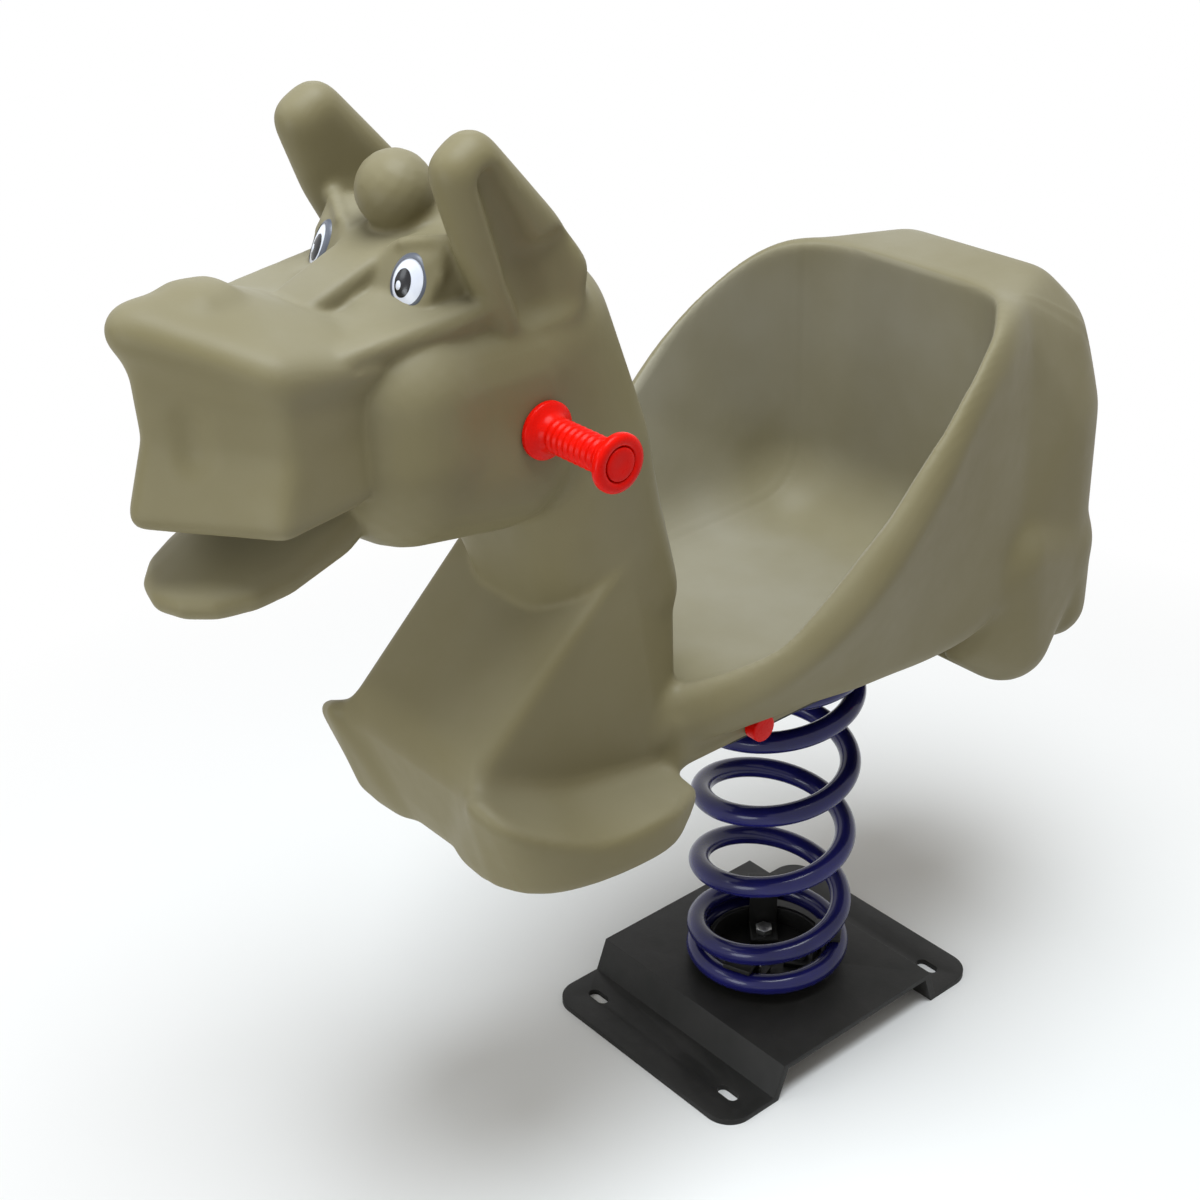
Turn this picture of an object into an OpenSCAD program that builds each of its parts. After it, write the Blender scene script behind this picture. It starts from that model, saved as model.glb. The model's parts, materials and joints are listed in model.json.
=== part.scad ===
// Spring rider: a hollow moulded animal on a coil spring, bolted to a bent steel ground plate.
// Millimetres. +Z is up, the animal looks along -Y, and the origin is on the ground under the spring.

/* [Ground plate] */
// Width of the ground plate, side to side
base_w = 252; // [236:2:300]
// Length of the ground plate, front to back
base_l = 350; // [340:2:400]
// Thickness of the plate
plate_t = 6; // [5:0.5:8]
// Height of the raised deck's top over the ground
deck_z = 38; // [32:1:50]
// Length of the raised deck's flat top
deck_l = 200; // [198:2:214]
// How far each bent leg leans out
bend_run = 12; // [8:1:16]
// Corner radius of the two ground flanges
corner_r = 26; // [10:1:30]
// Width of an anchor slot
slot_w = 12; // [10:0.5:14]
// Length of an anchor slot, end to end
slot_l = 24; // [18:1:30]
// Distance between the slots, side to side
slot_dx = 184; // [170:1:190]
// Distance between the slots, front to back
slot_dy = 284; // [280:1:300]

/* [Spring] */
// Diameter of the spring wire
wire_d = 20; // [16:0.5:21]
// Mean diameter of the coil
coil_d = 140; // [134:1:144]
// Height from the deck to the mount channel
spring_h = 358; // [330:2:400]
// Rise of a turn in the closed end coils
end_pitch = 22; // [21.5:0.1:24]
// Closed turns at the bottom
low_turns = 1; // [0.95:0.01:1.1]
// Closed turns at the top
high_turns = 0.75; // [0.7:0.01:0.85]
// Open turns between the ends
open_turns = 3.1; // [2.8:0.05:3.3]
// Turns in which the pitch opens or closes
ramp_turns = 0.5; // [0.45:0.01:0.6]
// Direction of the wire's lower end, in degrees from +X
wire_start = 139; // [130:1:150]

/* [Spring clamps] */
// Wall of the locating rings inside the end coils
ring_wall = 5; // [4:0.5:6]
// Height of the locating rings
ring_h = 20; // [14:1:21]
// Thickness of a clamp
clamp_t = 5; // [4:0.5:5.5]
// Width of a clamp
clamp_w = 28; // [24:1:32]
// Thread diameter of the clamp bolts
clamp_bolt_d = 10; // [8:1:12]
// Gap between pieces that only lie against each other
seat_gap = 0.3; // [0.2:0.05:0.5]

/* [Mount channel] */
// Outside width of the channel in the keel
channel_w = 183; // [176:1:190]
// Length of the channel
channel_l = 312; // [304:2:320]
// Thickness of the channel steel
channel_t = 7; // [5:0.5:8]
// Height of the channel's side flanges
channel_h = 36; // [32:1:40]
// Distance of the front cross bolt in front of the spring
cross_front = 134; // [126:1:138]
// Distance of the rear cross bolt behind the spring
cross_rear = 78; // [74:1:84]
// Height of the cross bolts over the channel's underside
cross_up = 15; // [14.5:0.5:15.5]
// Thread diameter of the cross bolts
cross_d = 10; // [8:1:10]
// Diameter of the red caps on the cross bolts
cap_d = 24; // [24:0.5:25]

/* [Shell] */
// Wall of the moulded shell
wall = 6; // [5:0.5:7]
// Gap between the channel and the keel on each side
keel_gap = 0.5; // [0.3:0.1:0.8]
// Height of the seat floor over the mount plane
floor_up = 64; // [60:1:72]
// Outside width of the seat tub
seat_w = 358; // [340:2:376]
// Height of the backrest's top over the mount plane
back_up = 330; // [316:2:344]
// Distance of the backrest's rear face behind the spring
back_y = 312; // [302:2:322]
// Width over the foot ledges
ledge_w = 280; // [272:2:288]
// Depth of the foot ledges' underside below the mount plane
ledge_down = 36; // [30:1:42]
// Distance of the knees in front of the spring
knee_y = 438; // [428:2:446]

/* [Head] */
// Width of the head at the handles
head_w = 200; // [190:2:212]
// Distance of the head's middle in front of the spring
head_y = 395; // [385:1:405]
// Height of the head's middle over the mount plane
head_up = 349; // [340:1:360]
// Width of the muzzle
muzzle_w = 186; // [174:2:192]
// Reach of the nose in front of the head's middle
nose_y = 226; // [216:2:234]
// Width of the lower jaw
jaw_w = 112; // [104:2:120]
// Length of an ear, root to tip
ear_l = 140; // [128:1:150]
// Radius of the tuft ball
tuft_r = 27; // [24:1:30]

/* [Handles] */
// Diameter of the handle flanges
flange_d = 46; // [44:1:54]
// Thickness of the handle flanges
flange_t = 8; // [6:0.5:10]
// Diameter of the grip
grip_d = 24; // [22:0.5:28]
// How far a handle reaches past the seat's side
handle_over = 1; // [0:1:12]
// Ribs on a grip
grip_ribs = 9; // [6:1:12]
// Height of a grip rib
rib_h = 1; // [0.5:0.1:1.4]
// Diameter of the rod through the head
rod_d = 10; // [8:0.5:11]
// Gap of the rod in its holes
rod_gap = 0.4; // [0.2:0.1:0.6]
// Wall of the tube that keeps the head's sides apart
tube_wall = 3; // [2:0.5:4]

/* [Eyes] */
// Width of an eye
eye_w = 25; // [22:1:28]
// Height of an eye
eye_h = 36; // [33:1:39]
// Thickness of an eye
eye_t = 9; // [8:0.5:11]
// How far an eye is let into the face
eye_in = 5; // [4.5:0.25:6]
// Diameter of a pupil
pupil_d = 15; // [12:1:17]

/* [Hidden] */

// Finishes as the photograph shows them
plate_black = "#26241f";
spring_blue = "#23235c";
shell_khaki = "#847d66";
handle_red = "#d91812";
steel_grey = "#9a9a98";

// Every rider size is measured from the mount plane, where the channel lies on the spring
mount_z = deck_z + spring_h;
big = 1000;

// Spring path
coil_r = coil_d / 2;
wire_r = wire_d / 2;
spring_low = deck_z + seat_gap + wire_r;
spring_high = mount_z - seat_gap - wire_r;
all_turns = low_turns + ramp_turns + open_turns + ramp_turns + high_turns;
open_pitch = (spring_high - spring_low - end_pitch * (low_turns + high_turns + ramp_turns))
    / (open_turns + ramp_turns);
pitch_gain = (open_pitch - end_pitch) / ramp_turns;
ramp_rise = ramp_turns * (end_pitch + open_pitch) / 2;
// Height gained in a stretch of the lower end, counted in turns from the wire's end
function end_rise(n, closed) =
    n <= closed ? end_pitch * n
    : n <= closed + ramp_turns ? end_pitch * n + pitch_gain * pow(n - closed, 2) / 2
    : end_pitch * closed + ramp_rise + open_pitch * (n - closed - ramp_turns);
function coil_z(n) = n < all_turns / 2 ? spring_low + end_rise(n, low_turns)
    : spring_high - end_rise(all_turns - n, high_turns);
function coil_angle(n) = wire_start + 360 * n;
function coil_point(n) = [coil_r * cos(coil_angle(n)), coil_r * sin(coil_angle(n)), coil_z(n)];
turn_steps = 24;
wire_sides = 8;
coil_steps = round(all_turns * turn_steps);
// A ring of the tube stands square to the path
function wire_ring(i) = let (
        n = all_turns * i / coil_steps,
        a = coil_angle(n),
        dn = 0.002,
        slope = (coil_z(min(n + dn, all_turns)) - coil_z(max(n - dn, 0))) /
            ((min(n + dn, all_turns) - max(n - dn, 0)) * 360 * PI / 180 * coil_r),
        lean = atan(slope),
        out = [cos(a), sin(a), 0],
        up = [sin(a) * sin(lean), -cos(a) * sin(lean), cos(lean)])
    [for (k = [0 : wire_sides - 1])
        coil_point(n) + wire_r * (cos(360 * k / wire_sides) * out + sin(360 * k / wire_sides) * up)];
// Least gap of the wire to itself, a turn apart or nearly so
coil_gaps = [for (i = [0 : coil_steps])
    for (j = [i + turn_steps / 2 : min(coil_steps, i + turn_steps * 3 / 2)])
        norm(coil_point(all_turns * i / coil_steps) - coil_point(all_turns * j / coil_steps)) - wire_d];
echo(least_gap_of_spring_to_itself = min(coil_gaps));

// Clamps: where each tongue lies over the wire, in turns from the wire's end
low_clamp_at = [0.42, 0.72, 1];
high_clamp_at = [0.1, 0.42, 0.74];
ring_gap = 1;
ring_r = coil_r - wire_r - ring_gap;
clamp_riser_r = sqrt(pow(ring_r - ring_wall - seat_gap, 2) - pow(clamp_w / 2, 2));
clamp_tip_r = coil_r + wire_r * 0.3;
clamp_foot = 28;
clamp_bolt_r = clamp_riser_r - clamp_t - clamp_foot / 2;
clamp_hole_d = clamp_bolt_d + 1;
nut_h = clamp_bolt_d * 0.8;
nut_d = clamp_bolt_d * 1.9;
head_h = clamp_bolt_d * 0.65;

// Mount channel and cross bolts
keel_in = channel_w / 2 + keel_gap;
keel_half = keel_in + wall;
cross_at = [-cross_front, cross_rear];
cross_hole_d = cross_d + 1;
washer_t = 2.5;
washer_d = cross_d * 1.95;
cross_nut_h = cross_d * 0.5;
cross_nut_d = cross_d * 1.85;
cap_wall = 2;
cap_h = washer_t + cross_nut_h + cap_wall + 2;

// Seat tub
seat_half = seat_w / 2;

// Head
head = [0, -head_y, head_up];
skull_r = 70;
muzzle_r = muzzle_w / 2;
jaw_r = jaw_w / 2;
handle_at = head + [0, 37, -4];
handle_seat = head_w / 2;
eye_at = head + [52, -37, 106];
eye_tilt = 24;
eye_turn = 22;
eye_gap = 0.3;
rod_hole_d = rod_d + 2 * rod_gap;
boss_d = flange_d + 6;
boss_in = wall + 4;
handle_end = seat_half + handle_over;
handle_l = handle_end - handle_seat;
handle_washer_t = 2;
handle_nut_h = rod_d * 0.5;
handle_nut_d = rod_d * 1.8;
handle_cap_t = 4;
cup_depth = handle_washer_t + handle_nut_h + handle_cap_t;
cup_d = handle_nut_d + 8;
cup_floor = handle_end - cup_depth;
rod_end = cup_floor + handle_washer_t + handle_nut_h;

// Round shapes shared by the shell's outside and, a wall smaller, by its inside
module ball(at, r) {
    translate(at)
        sphere(r, $fn = r > 40 ? 18 : 12);
}
module pair(at, r) {
    for (side = [-1, 1])
        ball([side * at[0], at[1], at[2]], r);
}
// Hulls from each station to the next; a station is [half spread, y, z, radius]
module chain(stations, grow) {
    for (i = [0 : len(stations) - 2])
        hull()
            for (s = [stations[i], stations[i + 1]])
                pair([s[0], s[1], s[2]], s[3] + grow);
}
module on_mount() {
    translate([0, 0, mount_z])
        children();
}
module mirrored() {
    children();
    mirror([1, 0, 0])
        children();
}

// Ground plate: two flanges on the ground, two leaning legs and a raised deck
module plate_side() {
    half = deck_l / 2;
    foot = half + bend_run;
    polygon([[-base_l / 2, 0], [-foot + plate_t / 2, 0], [-half + plate_t / 2, deck_z - plate_t],
        [half - plate_t / 2, deck_z - plate_t], [foot - plate_t / 2, 0], [base_l / 2, 0],
        [base_l / 2, plate_t], [foot + plate_t / 2, plate_t], [half + plate_t / 2, deck_z],
        [-half - plate_t / 2, deck_z], [-foot - plate_t / 2, plate_t], [-base_l / 2, plate_t]]);
}
module plate_plan() {
    for (side = [-1, 1]) {
        for (end = [-1, 1])
            translate([side * (base_w / 2 - corner_r), end * (base_l / 2 - corner_r)])
                circle(corner_r, $fn = 48);
        translate([0, side * (base_l / 2 - corner_r)])
            square([base_w - 2 * corner_r, 2 * corner_r], center = true);
    }
    square([base_w, base_l - 2 * corner_r], center = true);
}
module slot_cut() {
    for (end = [-1, 1])
        translate([end * (slot_l - slot_w) / 2, 0, -1])
            cylinder(d = slot_w, h = plate_t + 2, $fn = 48);
    translate([0, 0, plate_t / 2])
        cube([slot_l - slot_w, slot_w, plate_t + 2], center = true);
}
module base_plate() {
    color(plate_black)
        difference() {
            intersection() {
                rotate([90, 0, 90])
                    linear_extrude(base_w + 2, center = true)
                        plate_side();
                linear_extrude(deck_z + 1)
                    plate_plan();
            }
            for (x = [-1, 1])
                for (y = [-1, 1])
                    translate([x * slot_dx / 2, y * slot_dy / 2, 0])
                        slot_cut();
            for (n = low_clamp_at)
                rotate(coil_angle(n))
                    translate([clamp_bolt_r, 0, deck_z - 2 * plate_t])
                        cylinder(d = clamp_hole_d, h = 3 * plate_t, $fn = 48);
        }
}

// Locating ring: centres the end coil on its plate
module locating_ring() {
    difference() {
        cylinder(r = ring_r, h = ring_h, $fn = 72);
        translate([0, 0, -1])
            cylinder(r = ring_r - ring_wall, h = ring_h + 2, $fn = 72);
    }
}
module lower_locating_ring() {
    color(plate_black)
        translate([0, 0, deck_z])
            locating_ring();
}
module upper_locating_ring() {
    color(plate_black)
        translate([0, 0, mount_z])
            mirror([0, 0, 1])
                locating_ring();
}

// Clamp: a foot inside the coil, a riser and a tongue out over the wire, bent from one strip
module clamp(wire_top) {
    tongue = wire_top + seat_gap;
    foot_end = clamp_riser_r - clamp_t - clamp_foot;
    difference() {
        rotate([90, 0, 0])
            linear_extrude(clamp_w, center = true)
                polygon([[foot_end, 0], [clamp_riser_r, 0], [clamp_riser_r, tongue], [clamp_tip_r, tongue],
                    [clamp_tip_r, tongue + clamp_t], [clamp_riser_r - clamp_t, tongue + clamp_t],
                    [clamp_riser_r - clamp_t, clamp_t], [foot_end, clamp_t]]);
        translate([clamp_bolt_r, 0, -1])
            cylinder(d = clamp_hole_d, h = clamp_t + 2, $fn = 48);
    }
}
// Highest point of the wire under a tongue, over the face that the end coil lies on
function wire_top(n, face_z, way) =
    max([for (d = [-0.05, 0, 0.05]) way * (coil_z(n + d) - face_z)]) + wire_r;
module hex_bolt(d, head_h, shank) {
    cylinder(d = d * 1.8, h = head_h, $fn = 6);
    translate([0, 0, -shank])
        cylinder(d = d, h = shank + 0.01, $fn = 48);
}
module hex_nut(d, across, h) {
    difference() {
        cylinder(d = across, h = h, $fn = 6);
        translate([0, 0, -1])
            cylinder(d = d, h = h + 2, $fn = 48);
    }
}
grip_stack = clamp_t + plate_t;
bolt_tail = 3;
module lower_clamps() {
    color(plate_black)
        for (n = low_clamp_at)
            translate([0, 0, deck_z])
                rotate(coil_angle(n))
                    clamp(wire_top(n, deck_z, 1));
}
module lower_clamp_bolts() {
    color(steel_grey)
        for (n = low_clamp_at)
            rotate(coil_angle(n))
                translate([clamp_bolt_r, 0, deck_z + clamp_t])
                    hex_bolt(clamp_bolt_d, head_h, grip_stack + nut_h + bolt_tail);
}
module lower_clamp_nuts() {
    color(steel_grey)
        for (n = low_clamp_at)
            rotate(coil_angle(n))
                translate([clamp_bolt_r, 0, deck_z - plate_t - nut_h])
                    hex_nut(clamp_bolt_d, nut_d, nut_h);
}

// One unbroken wire, swept along the path above
module coil_spring() {
    points = [for (i = [0 : coil_steps]) each wire_ring(i)];
    last = coil_steps * wire_sides;
    side_faces = [for (i = [0 : coil_steps - 1]) for (k = [0 : wire_sides - 1])
        let (a = i * wire_sides + k, b = i * wire_sides + (k + 1) % wire_sides)
        each [[a, b, a + wire_sides], [b, b + wire_sides, a + wire_sides]]];
    start_face = [for (k = [1 : wire_sides - 2]) [0, k + 1, k]];
    end_face = [for (k = [1 : wire_sides - 2]) [last, last + k, last + k + 1]];
    color(spring_blue)
        polyhedron(points, concat(side_faces, start_face, end_face));
}

// Mount channel: a steel trough in the keel, web down on the spring
module mount_channel() {
    color(plate_black)
        on_mount()
            difference() {
                translate([-channel_w / 2, -channel_l / 2, 0])
                    cube([channel_w, channel_l, channel_h]);
                translate([-channel_w / 2 + channel_t, -channel_l / 2 - 1, channel_t])
                    cube([channel_w - 2 * channel_t, channel_l + 2, channel_h]);
                for (y = cross_at)
                    translate([0, y, cross_up])
                        rotate([0, 90, 0])
                            cylinder(d = cross_hole_d, h = channel_w + 2, center = true, $fn = 48);
                for (n = high_clamp_at)
                    rotate(coil_angle(all_turns - n))
                        translate([clamp_bolt_r, 0, -1])
                            cylinder(d = clamp_hole_d, h = channel_t + 2, $fn = 48);
            }
}
module upper_clamps() {
    color(plate_black)
        for (n = high_clamp_at)
            translate([0, 0, mount_z])
                mirror([0, 0, 1])
                    rotate(coil_angle(all_turns - n))
                        clamp(wire_top(all_turns - n, mount_z, -1));
}
module upper_clamp_bolts() {
    color(steel_grey)
        for (n = high_clamp_at)
            rotate(coil_angle(all_turns - n))
                translate([clamp_bolt_r, 0, mount_z - clamp_t])
                    mirror([0, 0, 1])
                        hex_bolt(clamp_bolt_d, head_h, clamp_t + channel_t + nut_h + bolt_tail);
}
module upper_clamp_nuts() {
    color(steel_grey)
        for (n = high_clamp_at)
            rotate(coil_angle(all_turns - n))
                translate([clamp_bolt_r, 0, mount_z + channel_t])
                    hex_nut(clamp_bolt_d, nut_d, nut_h);
}

// Cross bolts: through both keel walls and both channel flanges, under red caps
module cross_bolt(y) {
    face = keel_half + washer_t;
    color(steel_grey)
        on_mount()
            translate([face, y, cross_up])
                rotate([0, 90, 0])
                    hex_bolt(cross_d, cross_nut_h, 2 * face + cross_nut_h);
}
module front_cross_bolt() {
    cross_bolt(-cross_front);
}
module rear_cross_bolt() {
    cross_bolt(cross_rear);
}
module at_cross_ends() {
    on_mount()
        for (y = cross_at)
            for (side = [-1, 1])
                translate([side * keel_half, y, cross_up])
                    rotate([0, side * 90, 0])
                        children();
}
module cross_bolt_washers() {
    color(steel_grey)
        at_cross_ends()
            difference() {
                cylinder(d = washer_d, h = washer_t, $fn = 48);
                translate([0, 0, -1])
                    cylinder(d = cross_hole_d, h = washer_t + 2, $fn = 48);
            }
}
module cross_bolt_nuts() {
    color(steel_grey)
        on_mount()
            for (y = cross_at)
                translate([-keel_half - washer_t - cross_nut_h, y, cross_up])
                    rotate([0, 90, 0])
                        hex_nut(cross_d, cross_nut_d, cross_nut_h);
}
module cross_bolt_caps() {
    color(handle_red)
        at_cross_ends()
            difference() {
                cylinder(d = cap_d, h = cap_h, $fn = 64);
                translate([0, 0, -1])
                    cylinder(d = washer_d + 2 * seat_gap, h = cap_h - cap_wall + 1, $fn = 64);
            }
}

// Shell forms. Each takes grow: 0 for the outside, minus the wall for the inside.
module muzzle_form(grow) {
    // Each level is [reach of the middle, half width, height, edge radius, drop at the cheek]
    levels = [[nose_y + 4, muzzle_r, 80, 14, 12], [nose_y - 9, muzzle_r - 3, 22, 14, 12],
        [nose_y + 4, muzzle_r - 4, -18, 12, -14]];
    for (i = [0, 1])
        hull()
            for (v = [levels[i], levels[i + 1]]) {
                ball(head + [0, v[3] - v[0], v[2]], v[3] + grow);
                pair(head + [v[1] - v[3], v[3] - v[0] + 52, v[2]], v[3] + grow);
                pair(head + [v[1] - v[3], -64, v[2] - v[4]], v[3] + grow);
            }
    hull() {
        ball(head + [0, 60 - nose_y, 82], 34 + grow);
        pair(head + [muzzle_r - 30, 80 - nose_y, 74], 22 + grow);
        pair(head + [30, -64, 56], 34 + grow);
    }
}
module jaw_form(grow) {
    hull() {
        pair(head + [jaw_r - 30, 34 - nose_y, -85], 14 + grow);
        pair(head + [jaw_r - 14, 66 - nose_y, -83], 14 + grow);
        pair(head + [jaw_r - 20, -60, -58], 22 + grow);
    }
}
module skull_form(grow) {
    hull()
        for (p = [[-35, -20], [-35, 30], [35, -30], [35, 30]])
            pair(head + [handle_seat - skull_r, p[0], p[1]], skull_r + grow);
    hull() {
        pair(head + [handle_seat - 22, -80, 72], 15 + grow);
        pair(head + [handle_seat - 20, 10, 70], 15 + grow);
        pair(head + [26, -14, 78], 34 + grow);
        pair(head + [40, 36, 88], 36 + grow);
    }
}
// One side's eye bulge, running back to the ear, and half of the forehead panel between the bulges
module brow_form(grow) {
    hull() {
        ball(head + [46, -14, 101], 28 + grow);
        ball(head + [52, -26, 84], 26 + grow);
        ball(head + [62, 24, 98], 27 + grow);
    }
    hull() {
        ball(head + [10, -64, 78], 15 + grow);
        ball(head + [12, -6, 106], 16 + grow);
    }
}
module tuft_form(grow) {
    ball(head + [0, -8, 151], tuft_r + grow);
    hull() {
        ball(head + [0, -2, 128], 20 + grow);
        ball(head + [0, 50, 110], 30 + grow);
    }
}
ear_root = head + [82, 20, 75];
ear_way = [0.07, -0.31, 0.95];
// One side's ear: a cupped leaf, wide at the back
module ear_form(grow) {
    tip = ear_root + (ear_l - 24) * ear_way;
    hull() {
        ball(ear_root, 17 + grow);
        ball(ear_root + [-4, 54, -12], 20 + grow);
        ball(ear_root + [4, 46, 42], 19 + grow);
        ball(ear_root + [5, -14, 60], 18 + grow);
        ball(ear_root + [5, 18, 66], 18 + grow);
    }
    hull() {
        ball(ear_root + [5, -14, 60], 18 + grow);
        ball(ear_root + [5, 18, 66], 18 + grow);
        ball(tip, 24 + grow);
    }
}
module ear_groove() {
    hull() {
        ball(ear_root + [24, 22, 10], 14);
        ball(ear_root + [28, 18, 52], 17);
        ball(ear_root + 0.8 * ear_l * ear_way + [24, 8, 0], 10);
    }
}
module neck_form(grow) {
    chain([[36, head[1] + 76, head[2] + 44, 58], [32, -284, 290, 64], [30, -272, 224, 60],
        [36, -266, 150, 56]], grow);
}
ledge_half = ledge_w / 2;
ridge_x = 66;
module chest_form(grow) {
    low = 20 - ledge_down;
    hull() {
        pair([ridge_x - 4, 166 - knee_y, 182], 12 + grow);
        pair([ridge_x, 28 - knee_y, 62], 14 + grow);
        pair([ridge_x - 14, -290, 40], 22 + grow);
    }
    hull() {
        pair([ridge_x, 28 - knee_y, 62], 14 + grow);
        pair([78, 50 - knee_y, low], 20 + grow);
        pair([60, -300, low], 20 + grow);
        pair([ridge_x - 14, -290, 40], 22 + grow);
    }
    hull() {
        pair([46, 128 - knee_y, 140], 20 + grow);
        pair([48, -222, 160], 28 + grow);
        pair([48, 118 - knee_y, 0], 20 + grow);
        pair([56, -232, 0], 24 + grow);
    }
}
// One side's foot ledge: it curls up to the knee in front
module ledge_form(grow) {
    low = 16 - ledge_down;
    hull() {
        ball([88, 18 - knee_y, 46], 18 + grow);
        ball([84, 60 - knee_y, low + 6], 22 + grow);
        ball([ledge_half - 20, 66 - knee_y, 16], 16 + grow);
        ball([50, 66 - knee_y, low], 16 + grow);
    }
    hull() {
        ball([84, 60 - knee_y, low + 6], 22 + grow);
        ball([ledge_half - 20, 66 - knee_y, 16], 16 + grow);
        ball([ledge_half - 16, -326, low + 10], 16 + grow);
        ball([ledge_half - 17, -318, low], 16 + grow);
        ball([50, -326, low], 16 + grow);
    }
    hull() {
        ball([ledge_half - 16, -326, low + 10], 16 + grow);
        ball([ledge_half - 17, -318, low], 16 + grow);
        ball([ledge_half - 12, -262, low + 8], 16 + grow);
        ball([ledge_half - 16, -246, low], 16 + grow);
        ball([ledge_half - 30, -222, low + 4], 16 + grow);
        ball([50, -222, low], 16 + grow);
        ball([50, -326, low], 16 + grow);
    }
}
// Tub stations along Y: [y, rim half width, rim z, low half width, low z, low radius]
rim_r = 22;
tub = [[-212, seat_half - 62, 66, seat_half - 72, 40, 16],
    [-70, seat_half, 180, seat_half - 40, 54, 22],
    [0, seat_half - 3, 248, seat_half - 38, 51, 24],
    [48, seat_half - 14, 296, seat_half - 36, 48, 28],
    [110, seat_half - 34, back_up - 6, seat_half - 36, 52, 34],
    [180, seat_half - 70, back_up - 4, seat_half - 44, 64, 46]];
module tub_station(s, grow) {
    pair([s[1] - rim_r, s[0], s[2] - rim_r], rim_r + grow);
    pair([s[3] - s[5], s[0], s[4] + s[5] - 20], s[5] + grow);
}
module tub_form(grow) {
    for (i = [0 : len(tub) - 2])
        hull() {
            tub_station(tub[i], grow);
            tub_station(tub[i + 1], grow);
        }
    hull() {
        tub_station(tub[4], grow);
        tub_station(tub[5], grow);
        pair([66, back_y - 88, back_up - 34], 34 + grow);
        pair([50, back_y - 88, 190], 88 + grow);
        pair([60, back_y - 78, 90], 78 + grow);
    }
}
module scoop_form(grow) {
    deep = 62;
    low = floor_up + deep;
    clear_up = back_up + 90;
    hull() {
        pair([seat_half - 50 - deep, -180, low], deep + grow);
        pair([seat_half - 52 - deep, 84, low], deep + grow);
        pair([seat_half - 46 - deep, 30, low + 40], deep + grow);
        pair([seat_half - 67 - deep, 90, low + 120], deep + grow);
        pair([seat_half - 30 - deep, -180, clear_up], deep + grow);
        pair([seat_half - 40 - deep, 0, clear_up], deep + grow);
        pair([seat_half - 87 - deep, 92, clear_up], deep + grow);
    }
}
module keel_form(grow) {
    r = 14;
    hull()
        for (y = [-210, 168])
            for (z = [r - 1, floor_up - r - 2])
                pair([keel_half - r, y, z], r + grow);
}
module haunch_form(grow) {
    hull() {
        pair([96, back_y - 112, -20], 46 + grow);
        pair([94, back_y - 162, 4], 36 + grow);
        pair([100, back_y - 144, 80], 52 + grow);
        pair([84, back_y - 62, 60], 54 + grow);
    }
    hull() {
        pair([98, back_y - 48, -6], 36 + grow);
        pair([84, back_y - 62, 60], 54 + grow);
    }
}
module solid_forms(grow) {
    difference() {
        union() {
            tub_form(grow);
            haunch_form(grow);
        }
        scoop_form(-grow);
    }
    muzzle_form(grow);
    jaw_form(grow);
    skull_form(grow);
    neck_form(grow);
    chest_form(grow);
    mirrored()
        ledge_form(grow);
    keel_form(grow);
}
module outer_details() {
    tuft_form(0);
    mirrored()
        brow_form(0);
    mirrored()
        difference() {
            ear_form(0);
            ear_groove();
        }
    translate(handle_at)
        rotate([0, 90, 0])
            cylinder(d = boss_d, h = 2 * handle_seat, center = true, $fn = 40);
}
// Places an eye: its middle on the face, its back along -Z
module at_eye() {
    translate(eye_at)
        rotate([0, 0, eye_turn])
            rotate([90 - eye_tilt, 0, 0])
                children();
}
module eye_plan(grow) {
    r = eye_w / 2;
    hull()
        for (end = [-1, 1])
            translate([0, end * (eye_h / 2 - r)])
                circle(r + grow, $fn = 32);
}
module body_shell() {
    color(shell_khaki)
        on_mount()
            difference() {
                union() {
                    solid_forms(0);
                    outer_details();
                }
                difference() {
                    solid_forms(-wall);
                    mirrored()
                        at_eye()
                            translate([0, 0, -eye_in - wall])
                                linear_extrude(big)
                                    eye_plan(wall);
                    translate(handle_at)
                        for (side = [-1, 1])
                            translate([side * handle_seat, 0, 0])
                                rotate([0, 90, 0])
                                    cylinder(d = boss_d, h = 2 * boss_in, center = true, $fn = 40);
                }
                translate([-keel_in, -channel_l / 2 - 1, -ledge_down])
                    cube([2 * keel_in, channel_l + 2, ledge_down + channel_h + 4]);
                mirrored()
                    at_eye()
                        translate([0, 0, -eye_in])
                            linear_extrude(big)
                                eye_plan(eye_gap);
                translate(handle_at)
                    rotate([0, 90, 0])
                        cylinder(d = rod_hole_d, h = head_w + 2, center = true, $fn = 32);
                for (y = cross_at)
                    translate([0, y, cross_up])
                        rotate([0, 90, 0])
                            cylinder(d = cross_hole_d, h = 2 * keel_half + 2, center = true, $fn = 32);
            }
}

// Eyes: white ovals let into the face, each with a dark pupil on it
module eye() {
    color("white")
        on_mount()
            at_eye()
                translate([0, 0, -eye_in])
                    linear_extrude(eye_t)
                        eye_plan(0);
}
module pupil() {
    color("black")
        on_mount()
            at_eye()
                translate([0, 0, eye_t - eye_in])
                    cylinder(d = pupil_d, h = 1, $fn = 48);
}
module left_eye() {
    eye();
}
module right_eye() {
    mirror([1, 0, 0])
        eye();
}
module left_pupil() {
    pupil();
}
module right_pupil() {
    mirror([1, 0, 0])
        pupil();
}

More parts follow.
